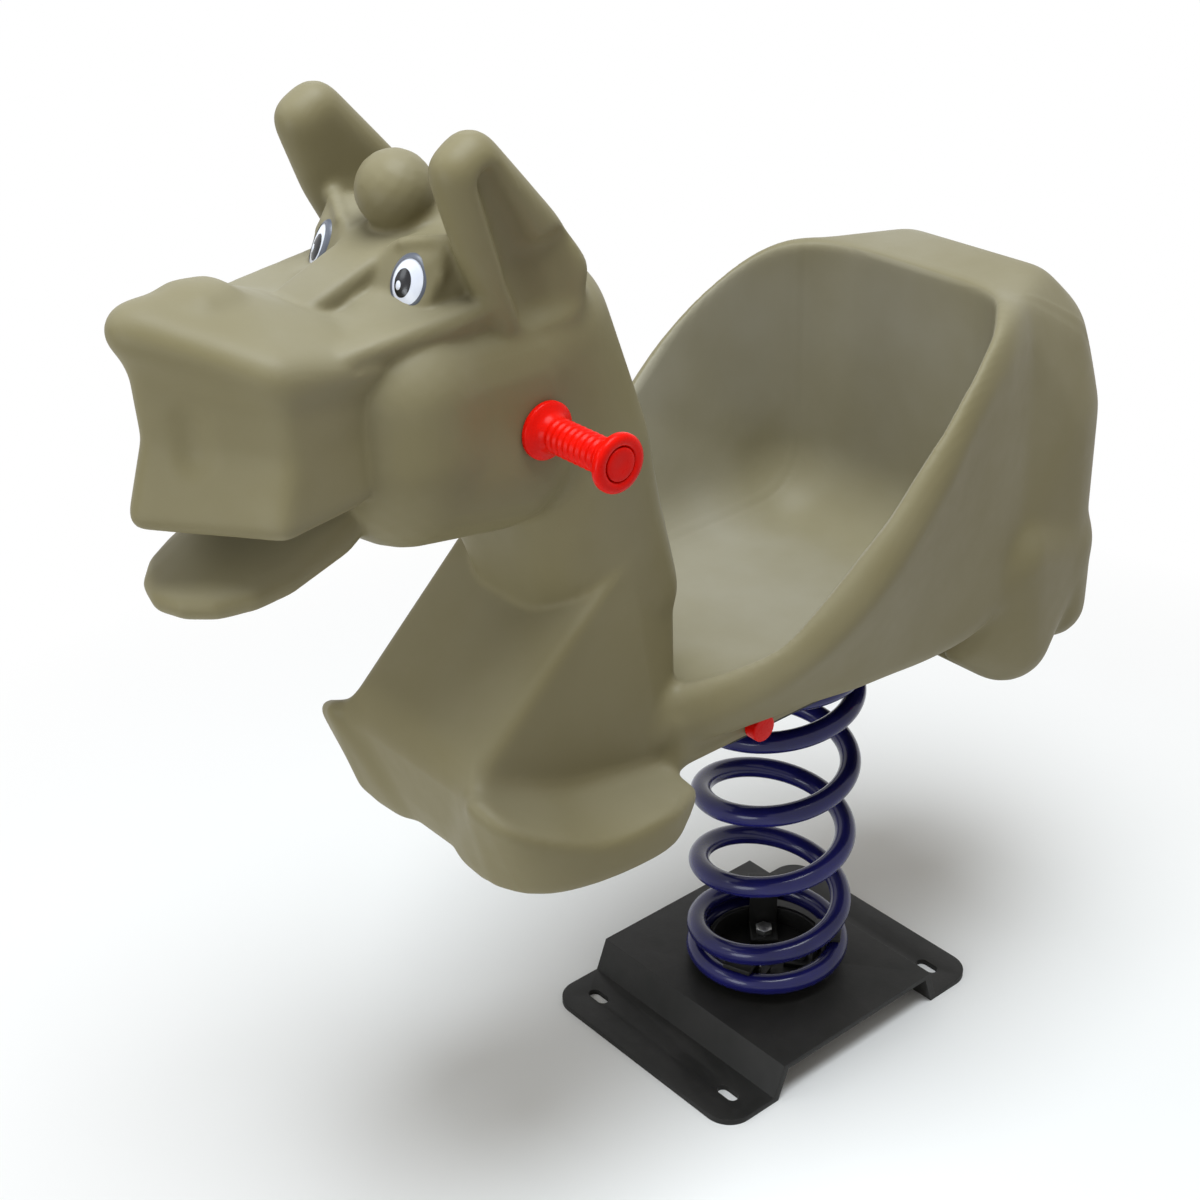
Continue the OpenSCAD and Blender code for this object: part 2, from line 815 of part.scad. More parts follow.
// Handles: a red grip on each end of one rod through the head
module along_handles() {
    on_mount()
        translate(handle_at)
            rotate([0, 90, 0])
                children();
}
module handle_rod() {
    color(steel_grey)
        along_handles()
            cylinder(d = rod_d, h = 2 * rod_end, center = true, $fn = 48);
}
module handle_spacer_tube() {
    inside = 2 * (handle_seat - boss_in - seat_gap);
    color(steel_grey)
        along_handles()
            difference() {
                cylinder(d = rod_hole_d + 2 * tube_wall, h = inside, center = true, $fn = 48);
                cylinder(d = rod_hole_d, h = inside + 2, center = true, $fn = 48);
            }
}
module handle() {
    neck_d = grip_d + 6;
    grip_from = flange_t + 8;
    grip_to = handle_l - flange_t - 6;
    rib_step = (grip_to - grip_from) / (grip_ribs + 1);
    rib_w = rib_step * 0.5;
    color(handle_red)
        along_handles()
            translate([0, 0, handle_seat])
                difference() {
                    union() {
                        cylinder(d = flange_d, h = flange_t * 0.6, $fn = 64);
                        translate([0, 0, flange_t * 0.6])
                            cylinder(d1 = flange_d, d2 = neck_d, h = flange_t, $fn = 64);
                        cylinder(d = grip_d, h = handle_l, $fn = 64);
                        for (i = [1 : grip_ribs])
                            translate([0, 0, grip_from + i * rib_step - rib_w / 2])
                                cylinder(d = grip_d + 2 * rib_h, h = rib_w, $fn = 64);
                        translate([0, 0, handle_l - flange_t - 5])
                            cylinder(d1 = grip_d, d2 = flange_d - 4, h = 5, $fn = 64);
                        translate([0, 0, handle_l - flange_t])
                            cylinder(d = flange_d, h = flange_t, $fn = 64);
                    }
                    translate([0, 0, -1])
                        cylinder(d = rod_hole_d, h = handle_l + 2, $fn = 48);
                    translate([0, 0, handle_l - cup_depth])
                        cylinder(d = cup_d, h = cup_depth + 1, $fn = 64);
                }
}
module left_handle() {
    handle();
}
module right_handle() {
    mirror([1, 0, 0])
        handle();
}
module handle_washers() {
    color(steel_grey)
        mirrored()
            along_handles()
                translate([0, 0, cup_floor])
                    difference() {
                        cylinder(d = cup_d - 1, h = handle_washer_t, $fn = 48);
                        translate([0, 0, -1])
                            cylinder(d = rod_hole_d, h = handle_washer_t + 2, $fn = 48);
                    }
}
module handle_nuts() {
    color(steel_grey)
        mirrored()
            along_handles()
                translate([0, 0, cup_floor + handle_washer_t])
                    hex_nut(rod_d, handle_nut_d, handle_nut_h);
}
module handle_cap() {
    color(handle_red)
        along_handles()
            translate([0, 0, handle_end - handle_cap_t])
                cylinder(d = cup_d - 2 * seat_gap, h = handle_cap_t, $fn = 64);
}
module left_handle_cap() {
    handle_cap();
}
module right_handle_cap() {
    mirror([1, 0, 0])
        handle_cap();
}

base_plate();
lower_locating_ring();
lower_clamps();
lower_clamp_bolts();
lower_clamp_nuts();
coil_spring();
mount_channel();
upper_locating_ring();
upper_clamps();
upper_clamp_bolts();
upper_clamp_nuts();
front_cross_bolt();
rear_cross_bolt();
cross_bolt_washers();
cross_bolt_nuts();
cross_bolt_caps();
body_shell();
left_eye();
right_eye();
left_pupil();
right_pupil();
handle_rod();
handle_spacer_tube();
left_handle();
right_handle();
handle_washers();
handle_nuts();
left_handle_cap();
right_handle_cap();
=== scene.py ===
# %% [markdown]
# # A spring rider
# A hollow moulded animal sits on a thick coil spring, and the spring stands on a bent steel plate.
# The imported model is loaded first. It says where every piece is and which body it moves with, so each
# piece that is made below goes straight to its place.

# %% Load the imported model
import json
import math
import bmesh
import bpy
import numpy as np
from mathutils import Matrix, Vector

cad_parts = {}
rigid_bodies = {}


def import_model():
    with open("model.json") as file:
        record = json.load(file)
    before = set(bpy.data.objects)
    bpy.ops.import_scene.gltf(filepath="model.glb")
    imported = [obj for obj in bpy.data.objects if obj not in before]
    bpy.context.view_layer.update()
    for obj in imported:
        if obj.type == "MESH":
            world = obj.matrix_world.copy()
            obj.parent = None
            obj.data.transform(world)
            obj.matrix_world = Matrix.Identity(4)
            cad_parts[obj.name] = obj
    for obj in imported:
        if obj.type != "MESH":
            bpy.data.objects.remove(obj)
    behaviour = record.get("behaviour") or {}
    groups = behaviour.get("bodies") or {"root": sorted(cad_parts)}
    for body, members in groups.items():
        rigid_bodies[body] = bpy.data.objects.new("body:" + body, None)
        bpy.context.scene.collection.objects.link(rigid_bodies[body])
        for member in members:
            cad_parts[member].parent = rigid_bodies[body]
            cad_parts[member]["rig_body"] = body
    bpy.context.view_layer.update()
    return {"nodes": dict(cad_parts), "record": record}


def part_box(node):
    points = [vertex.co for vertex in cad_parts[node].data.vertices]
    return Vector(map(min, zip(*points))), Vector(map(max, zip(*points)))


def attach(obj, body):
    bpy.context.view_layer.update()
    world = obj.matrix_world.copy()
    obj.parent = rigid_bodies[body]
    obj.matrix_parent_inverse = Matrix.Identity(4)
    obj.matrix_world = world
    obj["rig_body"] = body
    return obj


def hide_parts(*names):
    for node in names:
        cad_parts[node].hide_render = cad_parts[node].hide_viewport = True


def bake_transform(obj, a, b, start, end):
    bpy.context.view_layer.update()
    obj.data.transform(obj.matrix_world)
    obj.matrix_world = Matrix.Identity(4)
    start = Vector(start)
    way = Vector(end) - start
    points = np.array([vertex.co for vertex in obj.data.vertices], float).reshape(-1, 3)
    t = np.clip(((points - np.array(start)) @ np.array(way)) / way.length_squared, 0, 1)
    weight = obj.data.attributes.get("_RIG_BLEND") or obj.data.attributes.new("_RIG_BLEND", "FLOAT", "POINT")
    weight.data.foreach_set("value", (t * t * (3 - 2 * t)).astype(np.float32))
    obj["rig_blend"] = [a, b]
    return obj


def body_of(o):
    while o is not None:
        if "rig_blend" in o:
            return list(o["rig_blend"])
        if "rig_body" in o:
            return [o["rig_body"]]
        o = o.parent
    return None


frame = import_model()
MM = 0.001

# %% [markdown]
# The camera stands where the photographer stood: in front, to the animal's left and above it. It could be
# placed by hand, but it was worked out from the ground plate, the spring and the eyes. It comes before any
# shape, because every shape is judged through it.

# %% Camera
AIM = Vector((-0.2533, 0.0, 0.3404))
TURN, RISE, AWAY = math.radians(48.95), math.radians(28.04), 1.9698
SENSOR, LENS = 36.0, 58.14


def link(thing):
    bpy.context.scene.collection.objects.link(thing)
    return thing


camera = link(bpy.data.objects.new("camera", bpy.data.cameras.new("camera")))
backward = Vector((math.cos(RISE) * math.sin(TURN), -math.cos(RISE) * math.cos(TURN), math.sin(RISE)))
camera.location = AIM + AWAY * backward
camera.rotation_euler = (AIM - camera.location).to_track_quat("-Z", "Y").to_euler()
camera.data.sensor_width = SENSOR
camera.data.lens = LENS
bpy.context.scene.camera = camera
bpy.context.scene.view_settings.view_transform = "Standard"
print("camera at", [round(v, 3) for v in camera.location])

# %% [markdown]
# Every finish is made from nodes. They could be wired one by one, but that hides what a finish is made of.
# This kit has one short call for each usual step, such as a sum or a change of range. A value is either a
# number, which is set on the socket, or another node's output, which is linked to it.

# %% Node kit
class Nodes:
    def __init__(self, owner):
        owner.use_nodes = True
        self.owner = owner
        self.nodes, self.links = owner.node_tree.nodes, owner.node_tree.links

    def put(self, socket, value):
        if isinstance(value, bpy.types.NodeSocket):
            self.links.new(value, socket)
        else:
            socket.default_value = value

    def node(self, kind, inputs, do=None):
        new = self.nodes.new(kind)
        if do:
            new.operation = do
        for socket, value in inputs.items():
            self.put(new.inputs[socket], value)
        return new

    def maths(self, do, *values):
        return self.node("ShaderNodeMath", dict(enumerate(values)), do).outputs["Value"]

    def vector(self, do, *values):
        return self.node("ShaderNodeVectorMath", dict(enumerate(values)), do).outputs

    def spread(self, value, low, high, start=0.0, end=1.0):
        """Maps a value that runs from start to end onto low to high."""
        inputs = {"Value": value, "From Min": start, "From Max": end, "To Min": low, "To Max": high}
        return self.node("ShaderNodeMapRange", inputs).outputs["Result"]


# %% [markdown]
# Noise and bumps follow the piece itself, not a picture wrapped round it, so no seams show.

# %% Material kit
class Finish(Nodes):
    def __init__(self, name):
        super().__init__(bpy.data.materials.new(name))
        self.where = self.node("ShaderNodeTexCoord", {}).outputs["Object"]

    def noise(self, scale, detail=3.0):
        inputs = {"Vector": self.where, "Scale": scale, "Detail": detail}
        return self.node("ShaderNodeTexNoise", inputs).outputs["Fac"]

    def ramp(self, value, *stops):
        band = self.node("ShaderNodeValToRGB", {"Fac": value})
        marks = band.color_ramp.elements
        for mark, (place, colour) in zip(marks, (stops[0], stops[-1])):
            mark.position, mark.color = place, (*colour, 1)
        for place, colour in stops[1:-1]:
            marks.new(place).color = (*colour, 1)
        return band.outputs["Color"]

    def bump(self, height, depth, strength, under=None):
        inputs = {"Height": height, "Distance": depth, "Strength": strength}
        if under is not None:
            inputs["Normal"] = under
        return self.node("ShaderNodeBump", inputs).outputs["Normal"]

    def dress(self, colour, roughness, normal, **more):
        inputs = {"Base Color": colour, "Roughness": roughness, "Normal": normal}
        inputs.update((name.replace("_", " "), value) for name, value in more.items())
        for socket, value in inputs.items():
            self.put(self.nodes["Principled BSDF"].inputs[socket], value)
        return self.owner


# %% [markdown]
# The shell is rotomoulded plastic: powder melts on the inside of a turning mould.
# Its skin is satin, with a faint pebble from the mould and a slow colour drift. What faces up is paler and
# greyer: dust, and a painted sheen of sky light. Faces near the seat's middle that look towards it are paler
# too: painted fill light in the hollow, and the rub of riders. Such marks could be painted by hand, but a
# rule for them follows the shape when the shape changes.

# %% Moulded plastic
# The palest stop is reached only where dust with painted sheen and rub with painted fill light add to the
# drift.
KHAKI = ((0.3, (0.160, 0.136, 0.067)), (0.5, (0.182, 0.157, 0.083)),
         (0.7, (0.222, 0.198, 0.124)), (0.92, (0.285, 0.264, 0.200)))
SEAT_MIDDLE, SEAT_NEAR, SEAT_FAR = (0.0, -0.04, 0.62), 0.19, 0.27
# How much dust with painted sheen, and rub with painted fill light, pale the shell at most.
DUST_AND_SHEEN, RUB_AND_FILL_LIGHT = 0.18, 0.34


def moulded_plastic():
    skin = Finish("moulded_khaki")
    normal = skin.node("ShaderNodeNewGeometry", {}).outputs["Normal"]
    upward = skin.node("ShaderNodeSeparateXYZ", {"Vector": normal}).outputs["Z"]
    # Painted sheen: faces turned up are made paler and greyer, as reflected sky light would make them, with
    # dust on them as well.
    dust_and_sheen = skin.spread(upward, 0.0, DUST_AND_SHEEN, start=0.25)
    # Painted fill light: inside the seat, faces that look towards its middle are made paler, as light filling
    # the hollow would make them, together with the rub of riders.
    to_seat = skin.vector("SUBTRACT", SEAT_MIDDLE, skin.where)["Vector"]
    inward = skin.vector("DOT_PRODUCT", skin.vector("NORMALIZE", to_seat)["Vector"], normal)["Value"]
    near = skin.spread(skin.vector("LENGTH", to_seat)["Value"], 1.0, 0.0, SEAT_NEAR, SEAT_FAR)
    rub_and_fill_light = skin.maths("MULTIPLY", skin.spread(inward, 0.0, RUB_AND_FILL_LIGHT, end=0.4), near)
    drift = skin.spread(skin.noise(5.0, 5.0), 0.2, 0.8)
    tone = skin.maths("ADD", drift, skin.maths("MAXIMUM", dust_and_sheen, rub_and_fill_light))
    pebble = skin.bump(skin.noise(420.0, 2.0), depth=0.0004, strength=0.12)
    waves = skin.bump(skin.noise(16.0, 2.0), depth=0.0022, strength=0.1, under=pebble)
    return skin.dress(skin.ramp(tone, *KHAKI), skin.spread(skin.noise(60.0, 5.0), 0.42, 0.56), waves,
                      Specular_IOR_Level=0.18)


shell_khaki = moulded_plastic()
print("shell:", shell_khaki.name)

# %% [markdown]
# The handles are injection-moulded plastic: brighter and smoother than the shell, with a soft sheen and
# fine scuffs where hands hold them. The scuffs are noise in the roughness, so they show only in the light.

# %% Red handle plastic
RED = ((0.3, (0.60, 0.003, 0.001)), (0.7, (0.76, 0.007, 0.002)))


def red_plastic():
    skin = Finish("handle_red")
    grain = skin.bump(skin.noise(900.0, 2.0), depth=0.0002, strength=0.15)
    return skin.dress(skin.ramp(skin.noise(30.0, 4.0), *RED),
                      skin.spread(skin.noise(220.0, 6.0), 0.2, 0.36), grain, Specular_IOR_Level=0.1)


handle_red = red_plastic()
print("handles:", handle_red.name)

# %% [markdown]
# Spring and plate are powder coated: the powder melts into a skin with a fine orange-peel ripple.
# One function does both, because they differ only in colour, in how rough they are and in the clear coat
# that gives the spring its long highlights.

# %% Coated steel
def coated_steel(name, dark, light, rough, peel, coat):
    skin = Finish(name)
    ripple = skin.bump(skin.noise(peel, 2.0), depth=0.0005, strength=0.16)
    return skin.dress(skin.ramp(skin.noise(14.0, 5.0), (0.35, dark), (0.7, light)),
                      skin.spread(skin.noise(90.0, 5.0), *rough), ripple,
                      Specular_IOR_Level=0.2, Coat_Weight=coat, Coat_Roughness=0.06)


spring_blue = coated_steel("spring_blue", (0.006, 0.006, 0.06), (0.012, 0.012, 0.115),
                           rough=(0.16, 0.3), peel=260.0, coat=0.25)
plate_black = coated_steel("plate_black", (0.009, 0.009, 0.008), (0.018, 0.017, 0.016),
                           rough=(0.4, 0.6), peel=320.0, coat=0.05)
print("coated steel:", spring_blue.name, plate_black.name)

# %% [markdown]
# Bolts, nuts and washers are zinc plated, which is grey and a little cloudy.
# The clouds are fine noise, since a smooth mirror would look like chrome.

# %% Plated steel
ZINC = ((0.3, (0.42, 0.42, 0.41)), (0.7, (0.62, 0.62, 0.6)))


def plated_steel():
    skin = Finish("zinc_plate")
    grain = skin.bump(skin.noise(700.0, 3.0), depth=0.0002, strength=0.2)
    return skin.dress(skin.ramp(skin.noise(120.0, 6.0), *ZINC),
                      skin.spread(skin.noise(300.0, 5.0), 0.28, 0.5), grain, Metallic=1.0)


steel_zinc = plated_steel()
print("fasteners:", steel_zinc.name)

# %% [markdown]
# The eyes are enamel: white, near black, and a blue-grey edge that is painted round the white.
# They are three finishes on separate pieces, which keeps their borders sharp from any distance.

# %% Eye enamel
def eye_enamel(name, dark, light, rough):
    skin = Finish(name)
    grain = skin.bump(skin.noise(800.0, 2.0), depth=0.0002, strength=0.1)
    return skin.dress(skin.ramp(skin.noise(80.0, 4.0), (0.35, dark), (0.7, light)),
                      skin.spread(skin.noise(300.0, 4.0), rough * 0.7, rough * 1.3), grain)


eye_white = eye_enamel("eye_white", (0.70, 0.73, 0.84), (0.80, 0.82, 0.90), 0.3)
pupil_black = eye_enamel("pupil_black", (0.004, 0.004, 0.006), (0.010, 0.010, 0.013), 0.2)
eye_edge_finish = eye_enamel("eye_edge", (0.075, 0.085, 0.115), (0.11, 0.12, 0.15), 0.35)
print("eyes:", eye_white.name, pupil_black.name, eye_edge_finish.name)

# %% [markdown]
# Each CAD piece takes its finish from the slot that the record gives it, so a piece that isn't remade
# below, such as a hidden bolt, is finished too.

# %% Finishes
finish = {"shell_khaki": shell_khaki, "handle_red": handle_red, "spring_blue": spring_blue,
          "plate_black": plate_black, "steel_zinc": steel_zinc, "eye_white": eye_white,
          "pupil_black": pupil_black}
slot_of = {p["node"]: p["material_slot"] for p in frame["record"]["subparts"]}
for name, part in frame["nodes"].items():
    for place in part.material_slots:
        place.material = finish[slot_of[name]]
print("finishes:", sorted(finish))

# %% [markdown]
# Three helpers turn lists of points into pieces. The first makes a mesh, tells the frame which body it rides
# and hides the CAD piece it stands for. The others join rings of points into a skin, and turn a profile
# round an axis as a lathe does.

# %% Mesh kit
def add_mesh(name, points, faces, mat, body=None, node=None, slot=None):
    mesh = bpy.data.meshes.new(name)
    mesh.from_pydata([tuple(p) for p in points], [], faces)
    mesh.validate()
    mesh.materials.append(mat)
    mesh.polygons.foreach_set("use_smooth", [True] * len(mesh.polygons))
    thing = link(bpy.data.objects.new(name, mesh))
    if body:
        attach(thing, body)
    if node:
        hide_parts(node)
    return thing


def ring_faces(rings, sides):
    """Faces between each ring of points and the next."""
    steps = [(k, (k + 1) % sides) for k in range(sides)]
    return [(i * sides + a, i * sides + b, (i + 1) * sides + b, (i + 1) * sides + a)
            for i in range(rings - 1) for a, b in steps]


def lathe(name, profile, middle, way, sides=64, **more):
    """Turns a profile of (distance along the axis, radius), in mm, round the axis through the middle."""
    way = Vector(way).normalized()
    out = way.orthogonal().normalized()
    side = way.cross(out)
    points = []
    for a, r in profile:
        for k in range(sides):
            t = 2 * math.pi * k / sides
            points.append((Vector(middle) + a * way + r * (math.cos(t) * out + math.sin(t) * side)) * MM)
    return add_mesh(name, points, ring_faces(len(profile), sides), **more)


# %% [markdown]
# No cut or bent steel has perfectly sharp edges. A Bevel modifier could round them, but the CAD mesh is
# first cleaned here: flat faces that were split into triangles are joined, and only real edges are rounded.

# %% Broken edges
SAME_PLACE, SAME_PLANE = 1e-5, math.radians(1)
REAL_EDGE, SHADED_EDGE = math.radians(32), math.radians(40)


def broken_edges(node, width, steps):
    """A copy of a CAD node with rounded edges, in the node's place."""
    part = frame["nodes"][node]
    copy = bmesh.new()
    copy.from_mesh(part.data)
    bmesh.ops.remove_doubles(copy, verts=copy.verts, dist=SAME_PLACE)
    bmesh.ops.dissolve_limit(copy, angle_limit=SAME_PLANE, verts=copy.verts, edges=copy.edges)
    sharp = [e for e in copy.edges if len(e.link_faces) == 2 and e.calc_face_angle() > REAL_EDGE]
    bmesh.ops.bevel(copy, geom=sharp, offset=width * MM, segments=steps, profile=0.5, affect="EDGES",
                    clamp_overlap=True)
    mesh = bpy.data.meshes.new(node + "_soft")
    copy.to_mesh(mesh)
    copy.free()
    mesh.materials.clear()
    mesh.materials.append(finish[slot_of[node]])
    mesh.polygons.foreach_set("material_index", [0] * len(mesh.polygons))
    mesh.polygons.foreach_set("use_smooth", [True] * len(mesh.polygons))
    mesh.set_sharp_from_angle(angle=SHADED_EDGE)
    thing = link(bpy.data.objects.new(node + "_soft", mesh))
    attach(thing, body_of(part)[0])
    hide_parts(node)


# %% [markdown]
# The shell is too soft and too blended for flat panels, and sculpting by hand can't be repeated. It is made
# as a field instead: a grid that holds, at each point, the distance to the nearest form. Half is worked out
# and mirrored. The grid is finer round the face. All numbers of the shell are millimetres.

# %% Grid
FINE, COARSE = ((2.3, 3.3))
FACE_X, FACE_Y, FACE_Z = 110, -300, 640
SIDE, FRONT, BACK, LOW, TOP = 192, -642, 348, 316, 972
xs = np.concatenate([np.arange(FINE / 2, FACE_X, FINE), np.arange(FACE_X + COARSE, SIDE, COARSE)])
ys = np.concatenate([np.arange(FRONT, FACE_Y, FINE), np.arange(FACE_Y + COARSE, BACK, COARSE)])
zs = np.concatenate([np.arange(LOW, FACE_Z, COARSE), np.arange(FACE_Z + FINE, TOP, FINE)])
print("grid:", len(xs), "x", len(ys), "x", len(zs))

# %% [markdown]
# A form is the tight skin round a few balls, like a balloon over marbles. A ball is (x, y, z, radius).
# Blender's convex hull finds that skin from dots on the balls, and its flat sides are kept as planes.

# %% Forms
BIG_BALL = 45


def round_dots(count):
    """Evenly spread directions, for the skin of a ball."""
    k = np.arange(count)
    up = 1 - 2 * (k + 0.5) / count
    turn = math.pi * (3 - math.sqrt(5)) * k
    return np.stack([np.sqrt(1 - up * up) * np.cos(turn), np.sqrt(1 - up * up) * np.sin(turn), up], 1)


FEW, MANY = round_dots(110), round_dots(330)


def hull_sides(balls):
    """The planes of the skin: a normal and how far out it lies."""
    skin = bmesh.new()
    for x, y, z, r in balls:
        for d in (MANY if r > BIG_BALL else FEW) * r:
            skin.verts.new((x + d[0], y + d[1], z + d[2]))
    bmesh.ops.convex_hull(skin, input=skin.verts)
    skin.normal_update()
    sides = np.array([(*f.normal, f.normal.dot(f.verts[0].co)) for f in skin.faces])
    skin.free()
    return sides


def both(*balls):
    """Each ball and its mirror image."""
    return [b for x, y, z, r in balls for b in ((x, y, z, r), (-x, y, z, r))]


print("dots on a ball:", len(FEW), "or", len(MANY))

# %% [markdown]
# The distance to a form is the height over its highest plane. Only the part of the grid round the form is
# worked out, block by block, and planes that can't be the highest one in a block are left out of it.

# %% Distance
MARGIN, BLOCK = 26.0, 12


def reach(balls):
    """The part of the grid that lies within the margin of the balls."""
    b = np.array(balls)
    low, high = (b[:, :3] - b[:, 3:]).min(0) - MARGIN, (b[:, :3] + b[:, 3:]).max(0) + MARGIN
    return tuple(slice(int(np.searchsorted(axis, low[a])), int(np.searchsorted(axis, high[a])))
                 for a, axis in enumerate((xs, ys, zs)))


def distance(balls):
    where = reach(balls)
    sides = hull_sides(balls)
    axes = [axis[w] for axis, w in zip((xs, ys, zs), where)]
    out = np.empty([len(axis) for axis in axes], np.float32)
    for spot in np.ndindex(*[-(-len(axis) // BLOCK) for axis in axes]):
        part = tuple(slice(i * BLOCK, (i + 1) * BLOCK) for i in spot)
        x, y, z = (axis[p] for axis, p in zip(axes, part))
        middle = [(a[0] + a[-1]) / 2 for a in (x, y, z)]
        size = math.dist([a[0] for a in (x, y, z)], [a[-1] for a in (x, y, z)])
        height = sides[:, :3] @ middle - sides[:, 3]
        near = sides[height >= height.max() - size]
        along_z = np.multiply.outer(z, near[:, 2]) - near[:, 3]
        along_y = np.multiply.outer(y, near[:, 1])[:, None] + along_z
        out[part] = (np.multiply.outer(x, near[:, 0])[:, None, None] + along_y).max(-1)
    return where, out


# %% [markdown]
# A field can take a form in, have one carved out, be cut down to one, join another field, or be softened
# all over. Where two meet, a fillet rounds the corner, as the mould's own corners are rounded.

# %% Field
LOOK_ROUND = 2.6


def soft_min(a, b, fillet):
    if fillet == 0:
        return np.minimum(a, b)
    near = np.maximum(fillet - np.abs(a - b), 0) / fillet
    return np.minimum(a, b) - near * near * fillet / 4


class Field:
    def __init__(self):
        self.at = np.full((len(xs), len(ys), len(zs)), MARGIN, np.float32)

    def add(self, balls, fillet):
        where, d = distance(balls)
        self.at[where] = soft_min(self.at[where], d, fillet)

    def chain(self, cuts):
        for a, b in zip(cuts, cuts[1:]):
            self.add(a + b, fillet=0)

    def carve(self, balls, fillet):
        where, d = distance(balls)
        self.at[where] = -soft_min(-self.at[where], d, fillet)

    def cut(self, other, fillet):
        self.at = -soft_min(-self.at, other.at, fillet)

    def trim(self, balls):
        where, d = distance(balls)
        self.at[where] = np.maximum(self.at[where], d)

    def merge(self, other, fillet):
        self.at = soft_min(self.at, other.at, fillet)

    def soften(self, width):
        """A weighted mean of each point's surroundings, axis by axis. The other half counts too."""
        for a, axis in enumerate((xs, ys, zs)):
            values = np.moveaxis(self.at, a, 0)
            total, weights = np.zeros_like(values), np.zeros(len(axis), np.float32)
            room = np.gradient(axis)
            steps = int(LOOK_ROUND * width / FINE)
            for step in range(-steps, steps + 1):
                near = np.arange(len(axis)) + step
                place = np.where(near < 0, -1 - near, np.minimum(near, len(axis) - 1))
                away = np.where(near < 0, -axis[place] if a == 0 else axis[0], axis[place]) - axis
                weight = (np.exp(-0.5 * (away / width) ** 2) * room[place]).astype(np.float32)
                total += weight[:, None, None] * values[place]
                weights += weight
            self.at = np.moveaxis(total / weights[:, None, None], 0, a)
        self.at = np.ascontiguousarray(self.at)


# %% [markdown]
# Skinning puts one point in each cell that the surface passes and one face on each grid edge that it
# crosses, so the mesh is all quads. Each point is then moved a little towards its neighbours and back,
# which takes out the grid's steps and keeps the size.

# %% Skin
PULL, PUSH = 0.5, -0.52


def skin_field(half):
    f = np.concatenate([half[::-1], half], 0)
    axes = (np.concatenate([-xs[::-1], xs]), ys, zs)
    shape = np.array(f.shape) - 1
    total, hits = np.zeros((shape.prod(), 3)), np.zeros(shape.prod())
    quads = []
    for axis in range(3):
        one = np.eye(3, dtype=int)[axis]
        a = f[tuple(slice(0, s - o) for s, o in zip(f.shape, one))]
        b = f[tuple(slice(o, None) for o in one)]
        cross = np.argwhere((a < 0) != (b < 0))
        others = [c for c in range(3) if c != axis]
        cross = cross[np.all((cross[:, others] > 0) & (cross[:, others] < shape[others]), 1)]
        fa, fb = a[tuple(cross.T)], b[tuple(cross.T)]
        place = cross + (fa / (fa - fb))[:, None] * one
        u, v = np.eye(3, dtype=int)[others[0]], np.eye(3, dtype=int)[others[1]]
        cells = []
        for step in (-u - v, -v, 0 * u, -u):
            c = cross + step
            flat = (c[:, 0] * shape[1] + c[:, 1]) * shape[2] + c[:, 2]
            for w in range(3):
                total[:, w] += np.bincount(flat, place[:, w], len(hits))
            hits += np.bincount(flat, minlength=len(hits))
            cells.append(flat)
        quad = np.stack(cells, 1)
        flip = (fa < 0) == (axis == 1)
        quad[flip] = quad[flip][:, ::-1]
        quads.append(quad)
    used = np.flatnonzero(hits)
    renumber = np.full(len(hits), -1)
    renumber[used] = np.arange(len(used))
    spots = total[used] / hits[used][:, None]
    points = np.stack([np.interp(spots[:, w], np.arange(len(axes[w])), axes[w]) for w in range(3)], 1)
    return points, renumber[np.concatenate(quads)]


def even_out(points, quads, rounds):
    a, b = np.concatenate([quads[:, [i, (i + 1) % 4]] for i in range(4)]).T
    size = len(points)
    count = np.bincount(a, minlength=size) + np.bincount(b, minlength=size)
    for i in range(2 * rounds):
        mean = np.stack([np.bincount(a, points[b, w], size) + np.bincount(b, points[a, w], size)
                         for w in range(3)], 1)
        points = points + (PULL, PUSH)[i % 2] * (mean / count[:, None] - points)
    return points


# %% [markdown]
# The muzzle is pointed in plan and waisted in front, under a slab with a rounded edge and a bump on its nose.
# A nostril is pressed into each side of its front. The lower jaw is a flat tongue with a round tip.
# The slab and the jaw are fields of their own, so that each can be softened by itself before they join.

# %% Muzzle and jaw
UNDER_SLAB = both((0, -602, 820, 12), (76, -550, 808, 11), (62, -459, 802, 11))
WAIST = both((0, -595, 768, 15), (74, -546, 768, 14), (58, -459, 764, 14))
LIP = both((0, -617, 719, 9), (83, -561, 723, 9), (73, -500, 725, 9), (62, -459, 738, 12))
SLAB = both((0, -608, 845, 20), (75, -554, 823, 15), (78, -478, 812, 10), (40, -472, 810, 18),
            (0, -556, 846, 20))
NOSE_BUMP = both((12, -566, 851, 13), (8, -552, 851, 13))
NOSTRIL = [(40, -604, 786, 16), (40, -604, 770, 16)]
JAW_RIM = [(0, -606, 656, 11), (19, -601, 657, 11), (35, -588, 659, 11), (46, -568, 663, 11),
           (50, -545, 668, 11)]
JAW_ROOT = [(46, -500, 684, 14), (40, -468, 708, 18)]
head = Field()
head.chain([UNDER_SLAB, WAIST, LIP])
head.soften(4.0)
slab = Field()
slab.add(SLAB, fillet=0)
slab.soften(7.0)
head.merge(slab, fillet=16)
head.add(NOSE_BUMP, fillet=12)
head.carve(NOSTRIL, fillet=9)
jaw = Field()
jaw.add(both(*JAW_RIM, *JAW_ROOT), fillet=0)
jaw.soften(2.0)
head.merge(jaw, fillet=4)
print("muzzle and jaw are done")

# %% [markdown]
# Behind it sits the round skull, with a flat mask on top. A fine groove under the mask's edge makes the seam
# along the cheek. It is carved as a row of short forms, because one form can't follow a bend.

